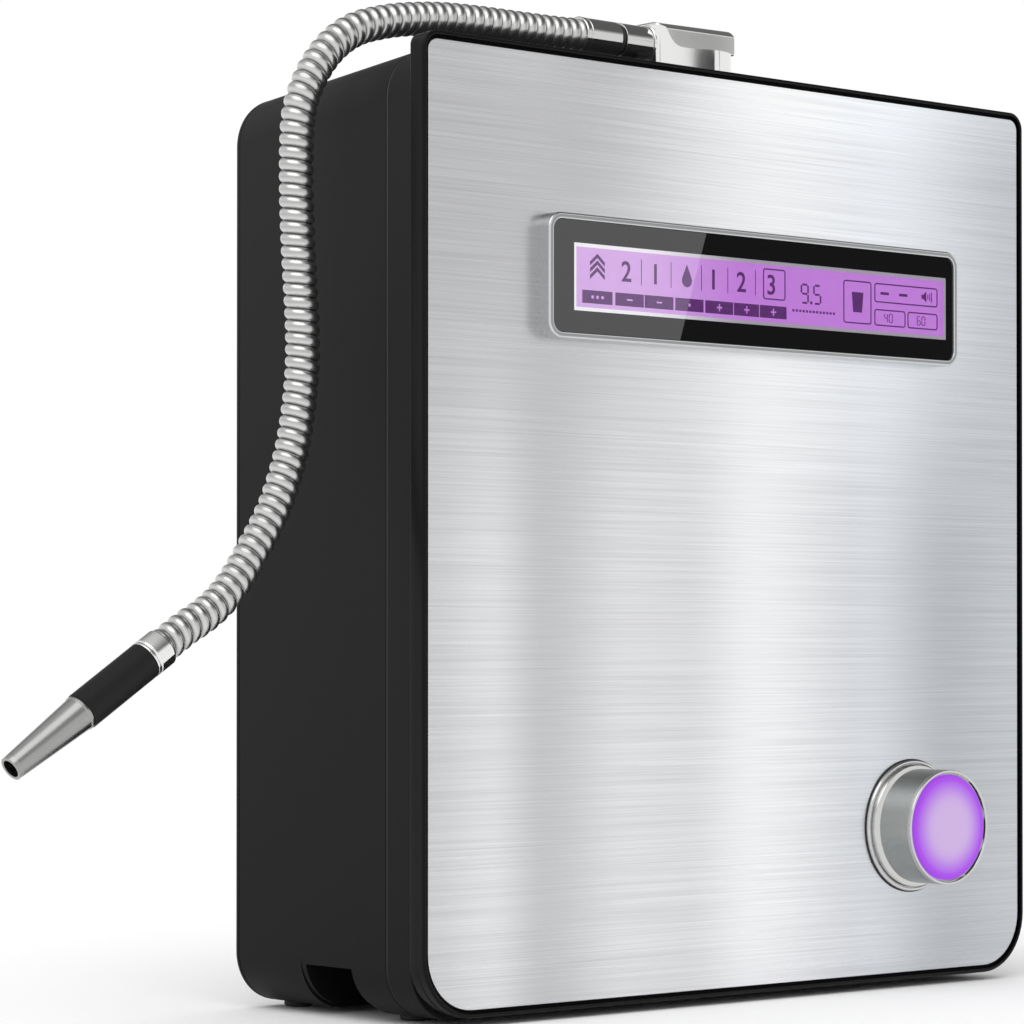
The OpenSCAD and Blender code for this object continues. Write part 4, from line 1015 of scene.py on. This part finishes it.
class IONIZER_OT_casing(bpy.types.Operator):
    """Build the two casing shells, the seam between them and the outlet's seat"""

    bl_idname = "ionizer.casing"
    bl_label = "Casing"

    def execute(self, context):
        edge = context.scene.ionizer_sizes.shell_edge
        groove_y = PARTING_Y - SEAM_GAP
        front = shell(CASING_FRONT_Y, groove_y, CASING_WALL)
        rear = shell(PARTING_Y, COVER_Y, CASING_WALL)
        for bm, depths in ((front, (CASING_FRONT_Y, groove_y)), (rear, (PARTING_Y, COVER_Y))):
            for y in depths:
                round_edges(bm, edge, at_depth(y, FRONT_MIDDLE))
        piece(front, "front_shell", "body", "matte_black", "matte_black", "front_casing")
        # The ring in the parting groove is lighter than the casing: a painted highlight along the seam
        seam = shell(groove_y - SEAM_LAP, PARTING_Y, mm(1.5), mm(0.25))
        piece(seam, "parting_seam", "body", "seam_grey", "matte_black")

        aside, behind, above = (axis * CASING_WALL for axis in (X_AXIS, Y_AXIS, Z_AXIS))
        bay = block(BAY[0] - aside - behind, BAY[1] + aside + behind)
        notches = block(NOTCHES[0] - behind, NOTCHES[1] + behind + above)
        seat = turned(sleeve(9.2, 17.5, 318, 330), OUTLET_AXIS, Z_AXIS, mm(0.4))
        rear = merged([carved(rear, [bay, notches]), seat])
        piece(rear, "rear_shell", "body", "matte_black", "matte_black", "rear_casing")
        return {"FINISHED"}


# Display

BEZEL_RADII, GLASS_RADII, LIGHT_RADII, EDGE_RADII = (6, 6), (3.7, 3.7), (0.6, 0.6), (0.9, 0.9)
# How much higher the lit window is at either edge than its node, and how far its glass reaches over it
WINDOW_RISE, WINDOW_LAP = mm(0, 0, 1), mm(0.4)
MARK_LINE, MARK_DEPTH = 0.5, mm(0.1)
# Marks of the window in millimetres: dark blocks and outlined boxes as (left, right, low, high)
BLOCKS = [(left, right, 244.8, 249.3) for left, right in (
    (-82.2, -68.2), (-66.8, -53.4), (-52.9, -39.2), (-38.2, -24.5), (-23.6, -9.9), (-9.4, 3.1), (3.6, 17.1))]
BOXES = (
    (5.2, 16.6, 251.4, 262.6), (46.7, 61.6, 245.4, 261.2), (63.2, 97.6, 253.9, 261.1),
    (63.2, 80.0, 245.3, 251.5), (81.1, 97.6, 245.3, 251.5))
DIVIDERS = (-54.6, -40.4, -25.6, -12.6, 1.2)
NUMERALS = ((-61.6, "2"), (-47.8, "1"), (-19.6, "1"), (-5.7, "2"), (9.4, "3"))
# Seven-bar numbers: text, left, low and height
NUMBERS = (("9.5", 24.8, 251.4, 6.6), ("40", 68.6, 246.8, 3.2), ("60", 86.4, 246.8, 3.2))
# Middles of the light signs on the dark blocks
MINUS_SIGNS, PLUS_SIGNS, DOTS = (-60.1, -46.0), (-16.7, -3.1, 10.4), (-77.5, -75.2, -72.9, -31.4)
SIGN_Z = 247.05
# Seven-bar digits: the bars of each, and each bar's lower left end in widths and half heights
DIGITS = {"0": "abcdef", "4": "bcfg", "5": "acdfg", "6": "acdefg", "9": "abcdfg"}
LEVEL_BARS = {"a": 2, "g": 1, "d": 0}
UPRIGHT_BARS = {"f": (0, 1), "b": (1, 1), "c": (1, 0), "e": (0, 0)}


class IONIZER_OT_display(bpy.types.Operator):
    """Build the display's bezel, glass, lit window and marks"""

    bl_idname = "ionizer.display"
    bl_label = "Display"

    def execute(self, context):
        self.bezel(context.scene.ionizer_sizes)
        low, high, _ = span("display_glass")
        lcd_low, lcd_high, _ = span("lcd_panel")
        lcd_low, lcd_high = lcd_low - WINDOW_RISE, lcd_high + WINDOW_RISE
        border = plate(low, high, GLASS_RADII)
        window, pane = (
            block((lcd_low.x + WINDOW_LAP, y0, lcd_low.z + WINDOW_LAP),
                  (lcd_high.x - WINDOW_LAP, y1, lcd_high.z - WINDOW_LAP))
            for y0, y1 in ((low.y - mm(1), high.y + mm(1)), (low.y, low.y + mm(0.4))))
        border = carved(border, [window])
        piece(border, "glass_border", "body", "glass_black", "display_glass", "display_glass")
        piece(pane, "window_pane", "body", "pane", "display_glass")

        light = plate(lcd_low, lcd_high, LIGHT_RADII, steps=4)
        round_edges(light, mm(0.15), at_depth(lcd_low.y), 2)
        piece(light, "lit_window", "body", "window", "lit_window", "lcd_panel")
        piece(self.marks(lcd_low.y - mm(0.1)), "window_marks", "body", "mark", "lit_window")
        piece(self.signs(lcd_low.y - mm(0.15)), "window_signs", "body", "window", "lit_window")
        edge_y = low.y + mm(0.5)
        edge = plate(lcd_low, lcd_high, EDGE_RADII, inset=WINDOW_LAP, rim=mm(1.3),
                     depth=(edge_y, edge_y + mm(0.12)), steps=4)
        piece(edge, "window_edge", "body", "window_edge", "lit_window")
        return {"FINISHED"}

    def bezel(self, sizes):
        low, high, centre = span("display_bezel")
        rim = plate(low, high, BEZEL_RADII, rim=sizes.bezel_rim)
        round_edges(rim, mm(0.3), at_depth(low.y, centre, outer=False), 3)
        round_edges(rim, sizes.bezel_edge, at_depth(low.y, centre), 4)
        piece(rim, "bezel_ring", "body", "silver", "silver_trim", "display_bezel")
        # A darker ring over the rim's front face: painted shade between its edge highlights
        band_y = low.y - mm(0.05)
        band = plate(low, high, BEZEL_RADII, inset=mm(0.8), rim=mm(0.9), depth=(band_y, band_y + mm(0.3)))
        piece(band, "bezel_band", "body", "band", "silver_trim")

    def marks(self, y):
        """Dark marks that lie on the lit window."""
        self.mark_y = y
        parts = [mark for k in range(3) for mark in self.chevron(-75.2, 255.4 + 2.3 * k)]
        parts += [self.bar(*sides) for sides in BLOCKS]
        parts += [self.bar(x, x + 0.25, 252.5, 261.5) for x in DIVIDERS]
        parts += [self.numeral(text, x, 253.4, 7.4) for x, text in NUMERALS]
        parts += [self.box(*sides) for sides in BOXES]
        parts += [self.bar(20.2 + 1.75 * k, 21.2 + 1.75 * k, 247.9, 248.8) for k in range(13)]
        parts += [self.bar(x, x + 4.5, 256.9, 257.9) for x in (66.5, 76.5)]
        for number in NUMBERS:
            parts += self.digits(*number)
        return merged([*parts, self.drop(-32.6, 257.0), self.cup(54.2, 253.0), *self.speaker(91.0, 257.5)])

    def signs(self, y):
        """Light plus and minus signs and dots on the dark blocks."""
        self.mark_y = y
        reach, line, dot = 1.3, 0.28, 0.5
        spots = [(x, reach, line) for x in MINUS_SIGNS + PLUS_SIGNS]
        spots += [(x, line, reach) for x in PLUS_SIGNS] + [(x, dot, dot) for x in DOTS]
        return merged([self.bar(x - half, x + half, SIGN_Z - rise, SIGN_Z + rise) for x, half, rise in spots])

    def sheet(self, outline):
        """Flat mark from (x, z) points in millimetres."""
        return prism([(mm(x), self.mark_y, mm(z)) for x, z in outline], Y_AXIS * MARK_DEPTH)

    def bar(self, x0, x1, z0, z1):
        return self.sheet(corners_of(x0, x1, z0, z1))

    def box(self, x0, x1, z0, z1):
        low, high = mm(x0, 0, z0), mm(x1, 0, z1)
        depth = (self.mark_y, self.mark_y + MARK_DEPTH)
        return plate(low, high, (1.2, 1.2), rim=mm(MARK_LINE), depth=depth, steps=5)

    def chevron(self, x, z):
        return [self.sheet(((x, z + 2.0), (x, z + 0.6), (x + s * 3.4, z - 2.2), (x + s * 3.4, z - 0.8)))
                for s in (-1, 1)]

    def numeral(self, text, x, z, height):
        """Plain numeral with its lower middle at (x, z)."""
        curve = bpy.data.curves.new("numeral", "FONT")
        curve.body, curve.align_x, curve.size, curve.offset = text, "CENTER", mm(height) * 1.35, mm(0.12)
        obj = linked("numeral", curve)
        bpy.context.view_layer.update()
        bm = bmesh.new()
        mesh = bpy.data.meshes.new_from_object(obj.evaluated_get(bpy.context.evaluated_depsgraph_get()))
        bm.from_mesh(mesh)
        bpy.data.meshes.remove(mesh)
        bpy.data.objects.remove(obj)
        bpy.data.curves.remove(curve)
        bmesh.ops.remove_doubles(bm, verts=bm.verts[:], dist=mm(0.07))
        stand = Matrix.Translation((mm(x), self.mark_y, mm(z))) @ Matrix.Rotation(math.radians(90), 4, "X")
        bmesh.ops.transform(bm, matrix=stand, verts=bm.verts[:])
        thicken(bm, Y_AXIS * MARK_DEPTH)
        return bm

    def digits(self, text, x, z, height):
        """Seven-bar digits and a point."""
        wide, half, line = height * 0.52, height / 2, height * 0.11
        parts = []
        for letter in text:
            if letter == ".":
                parts.append(self.bar(x - line, x + line * 0.4, z - line / 2, z + line))
                x += line * 1.6
                continue
            for name in DIGITS[letter]:
                if name in LEVEL_BARS:
                    left, right = x + line * 0.7, x + wide - line * 0.7
                    middle = z + half * LEVEL_BARS[name]
                    parts.append(self.bar(left, right, middle - line / 2, middle + line / 2))
                else:
                    column, row = UPRIGHT_BARS[name]
                    middle, foot = x + wide * column, z + half * row
                    parts.append(self.bar(middle - line / 2, middle + line / 2, foot + line * 0.4,
                                          foot + half - line * 0.4))
            x += wide + line * 2.6
        return parts

    def drop(self, x, z):
        radius, angles = 2.4, [math.radians(30 - 20 * k) for k in range(13)]
        round_end = [(x + radius * math.cos(a), z - 1.4 + radius * math.sin(a)) for a in angles]
        return self.sheet([*round_end[::-1], (x, z + 4.2)])

    def cup(self, x, z):
        return self.sheet(((x - 2.3, z - 3.4), (x + 2.3, z - 3.4), (x + 3.1, z + 4), (x - 3.1, z + 4)))

    def speaker(self, x, z):
        horn = self.sheet(((x - 2.2, z - 0.8), (x - 1.2, z - 0.8), (x + 0.4, z - 2), (x + 0.4, z + 2),
                           (x - 1.2, z + 0.8), (x - 2.2, z + 0.8)))
        waves = [self.bar(x + 1.1 + k, x + 1.45 + k, z - 0.9 - 0.5 * k, z + 0.9 + 0.5 * k) for k in range(3)]
        return [horn, *waves]


# Knob

KNOB_AXIS = mm(87, 0, 60.2)
KNOB_STEPS = 128
# The lens's radius, how far it bulges and how far in front of the axis's origin its rim lies, in millimetres
LENS_RADIUS, LENS_BULGE, LENS_RIM = 19.8, 0.8, 64.2


class IONIZER_OT_knob(bpy.types.Operator):
    """Build the flow knob, its lit lens and its flange"""

    bl_idname = "ionizer.knob"
    bl_label = "Knob"

    def execute(self, context):
        flange = self.round(
            [(18, 45.3), (24.4, 45.3), (24.4, 46.3), (24.0, 46.7), (23.4, 46.7), (23.1, 46.1), (22.9, 46.1),
             (22.8, 48.0), (22.4, 48.4), (18, 48.4)], mm(0.18))
        piece(flange, "flange_rings", "body", "dark_chrome", "chrome", "knob_flange")
        # A dark rubber ring a little wider than the flange: painted contact shadow round its edge
        gasket = self.round(sleeve(18, 24.8, 45, 45.3), mm(0.1))
        piece(gasket, "flange_gasket", "body", "rubber", "rubber")
        cup = self.round(
            [(4.1, 48.7), (20.6, 48.7), (21.2, 49.3), (21.2, 63.0), (19.9, 63.0), (19.9, 51.7), (4.1, 51.7)],
            mm(0.15))
        body = piece(cup, "knob_shell", "knob", "nickel", "nickel", "knob_body")
        trim = self.round([(20.2, 62.2), (21.1, 63.0), (21.2, 63.4), (21.2, 64.4), (20.2, 64.4)],
                          context.scene.ionizer_sizes.knob_edge)
        rim = piece(trim, "knob_trim", "knob", "dark_chrome", "chrome")
        glow = piece(self.lens(), "knob_glow", "knob", "lens", "lit_lens", "knob_lens")
        # The brushed sheet shows no mirror image of the knob
        for obj in (body, rim, glow):
            obj.visible_glossy = False
        return {"FINISHED"}

    def round(self, profile, edge=0.0):
        return turned(profile, KNOB_AXIS, FRONT, edge, KNOB_STEPS)

    def lens(self):
        """Lens with a slightly domed front."""
        ball = (LENS_RADIUS ** 2 + LENS_BULGE ** 2) / (2 * LENS_BULGE)
        dome = [(r, LENS_RIM + LENS_BULGE - ball + math.sqrt(ball ** 2 - r ** 2))
                for r in (0, 3, 6, 9, 12, 15, 17, 18.3, 19.0)]
        return self.round([*dome, (19.4, LENS_RIM - 0.3), (19.5, 59.2), (0, 59.2)])


# Rear and base

# Places on the rear and the base in millimetres
VENT_LEFT, VENT_PITCH, VENT_WIDTH, VENT_COUNT = 75, 8, 3, 7
VENT_LOW, VENT_HIGH = 87, 131
HANGING_HOLES = [(x, 0, 303) for x in (-118, 118)]
# Depths in front of and behind the rear between which its openings are cut
CUT_FROM, CUT_TO = 50, 70
COVER_SCREWS = [(x, 60, z) for x in (-142, 142) for z in (30, 150, 290)]
DOOR_SCREWS = [(x, 63.4, 190) for x in (-101, 47)]
FOOT_PLACES = [(x, y, 0) for x in (-127, 127) for y in (-13.5, 51)]
DOOR_RADII = (6, 6)


def screw_heads(places):
    """Pan heads with a cross recess, standing on the rear."""
    return merged([placed(screw_head(3.2, 1.6), mm(*place), Y_AXIS) for place in places])


def screw_head(radius, height):
    """Pan head with a cross recess, standing on the origin along Z."""
    head = turned([(0, 0), (radius, 0), (radius, height * 0.45), (radius * 0.8, height * 0.85),
                   (radius * 0.45, height), (0, height)], Vector(), Z_AXIS, mm(radius * 0.06), steps=40)
    arm, slot, depth = radius * 0.62, radius * 0.14, height * 0.45
    arms = ((arm, slot), (slot, arm))
    return carved(head, [block(mm(-a, -b, depth), mm(a, b, height * 2)) for a, b in arms])


class IONIZER_OT_rear(bpy.types.Operator):
    """Build the rear cover, the service door, their screws and the cord's bush"""

    bl_idname = "ionizer.rear"
    bl_label = "Rear"

    def execute(self, context):
        sizes = context.scene.ionizer_sizes
        cover = shell(COVER_Y, REAR_Y)
        round_edges(cover, sizes.shell_edge, at_depth(COVER_Y))
        round_edges(cover, sizes.back_edge, at_depth(REAR_Y), 4)
        lefts = [VENT_LEFT + VENT_PITCH * k for k in range(VENT_COUNT)]
        vents = [block(mm(x, CUT_FROM, VENT_LOW), mm(x + VENT_WIDTH, CUT_TO, VENT_HIGH)) for x in lefts]
        hole = sleeve(0, 4, CUT_FROM, CUT_TO)
        holes = [turned(hole, mm(*place), Y_AXIS, steps=48) for place in HANGING_HOLES]
        piece(carved(cover, vents + holes), "back_plate", "body", "matte_black", "matte_black", "rear_cover")
        piece(screw_heads(COVER_SCREWS), "back_screws", "body", "screw", "screw_steel", "cover_screws")

        low, high, _ = span("filter_door")
        door = plate(low, high, DOOR_RADII, depth=(REAR_Y, DOOR_Y))
        round_edges(door, mm(1.2), at_depth(DOOR_Y), 4)
        wells = [turned(sleeve(0, 3.3, y, CUT_TO), mm(x, 0, z), Y_AXIS, steps=48) for x, y, z in DOOR_SCREWS]
        pull = turned([(0, 63), (10, 63), (13, 66), (0, 66)], mm(-27, 0, 296), Y_AXIS, steps=64)
        door = carved(door, [*wells, pull])
        piece(door, "service_door", "body", "matte_black", "matte_black", "filter_door")
        piece(screw_heads(DOOR_SCREWS), "service_screws", "body", "screw", "screw_steel", "door_screws")
        bush = turned([(4.2, 52.3), (7, 52.3), (7, 60), (8.5, 60), (8.5, 62.2), (7.4, 64), (4.2, 64)],
                      mm(105, 0, 43), Y_AXIS, mm(0.35))
        piece(bush, "cord_bush", "body", "rubber", "rubber", "power_gland")
        return {"FINISHED"}


class IONIZER_OT_base(bpy.types.Operator):
    """Build the feet"""

    bl_idname = "ionizer.base"
    bl_label = "Base"

    def execute(self, context):
        profile = [(0, 3), (5, 3), (5, 0.8), (4.5, 0), (3.2, 0), (2.9, 0.4), (0, 0.4)]
        pads = [turned(profile, mm(*place), Z_AXIS, mm(0.15), steps=64) for place in FOOT_PLACES]
        piece(merged(pads), "foot_pads", "body", "rubber", "rubber", "feet")
        return {"FINISHED"}


# CAD nodes that keep their shape, by finish
KEPT = {
    "matte_black": ("hose_bay", "left_channel", "right_channel", "gland_nut"),
    "white_plastic": ("valve_body", "inlet_valve", "flow_sensor", "filter_first", "filter_second",
                      "inlet_fitting", "drain_fitting"),
    "grey_plastic": ("filter_manifold", "filter_clips", "cell_housing", "cell_cover"),
    "circuit": ("display_board", "knob_light_board", "main_board"),
    "zinc": ("chassis_plate", "power_supply"),
    "screw": ("valve_stem", "valve_screws", "board_standoffs"),
    "chrome": ("outlet_post",),
    "brass": ("outlet_nut",),
    "rubber": ("outlet_orings",),
    "titanium": ("electrode_plates",),
    "silicone": ("raw_tube", "filtered_tube", "alkaline_tube", "outlet_tube", "acid_tube"),
}


class IONIZER_OT_inside(bpy.types.Operator):
    """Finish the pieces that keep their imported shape"""

    bl_idname = "ionizer.inside"
    bl_label = "Inside"

    def execute(self, context):
        for finish, names in KEPT.items():
            for name in names:
                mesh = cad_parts[name].data
                mesh.materials.clear()
                mesh.materials.append(MATERIALS[finish])
        return {"FINISHED"}


class IONIZER_PT_panel(bpy.types.Panel):
    """Steps that build the ionizer"""

    bl_idname = "IONIZER_PT_panel"
    bl_label = "Water Ionizer"
    bl_space_type = "VIEW_3D"
    bl_region_type = "UI"
    bl_category = "Ionizer"

    def draw(self, context):
        for group in (context.scene.ionizer_sizes, context.scene.ionizer_colours):
            for name in group.__annotations__:
                self.layout.prop(group, name)
        for operator in OPERATORS:
            self.layout.operator(operator.bl_idname)


OPERATORS = (
    IONIZER_OT_stage, IONIZER_OT_hose, IONIZER_OT_outlet, IONIZER_OT_front, IONIZER_OT_casing,
    IONIZER_OT_display, IONIZER_OT_knob, IONIZER_OT_rear, IONIZER_OT_base, IONIZER_OT_inside)
CLASSES = (IonizerSizes, IonizerColours, *OPERATORS, IONIZER_PT_panel)


def register():
    for cls in CLASSES:
        bpy.utils.register_class(cls)
    bpy.types.Scene.ionizer_sizes = PointerProperty(type=IonizerSizes)
    bpy.types.Scene.ionizer_colours = PointerProperty(type=IonizerColours)


def unregister():
    del bpy.types.Scene.ionizer_colours
    del bpy.types.Scene.ionizer_sizes
    for cls in reversed(CLASSES):
        bpy.utils.unregister_class(cls)


def main():
    register()
    bpy.ops.ionizer.stage()
    bpy.ops.ionizer.hose()
    bpy.ops.ionizer.outlet()
    bpy.ops.ionizer.front()
    bpy.ops.ionizer.casing()
    bpy.ops.ionizer.display()
    bpy.ops.ionizer.knob()
    bpy.ops.ionizer.rear()
    bpy.ops.ionizer.base()
    bpy.ops.ionizer.inside()


if __name__ == "__main__":
    main()
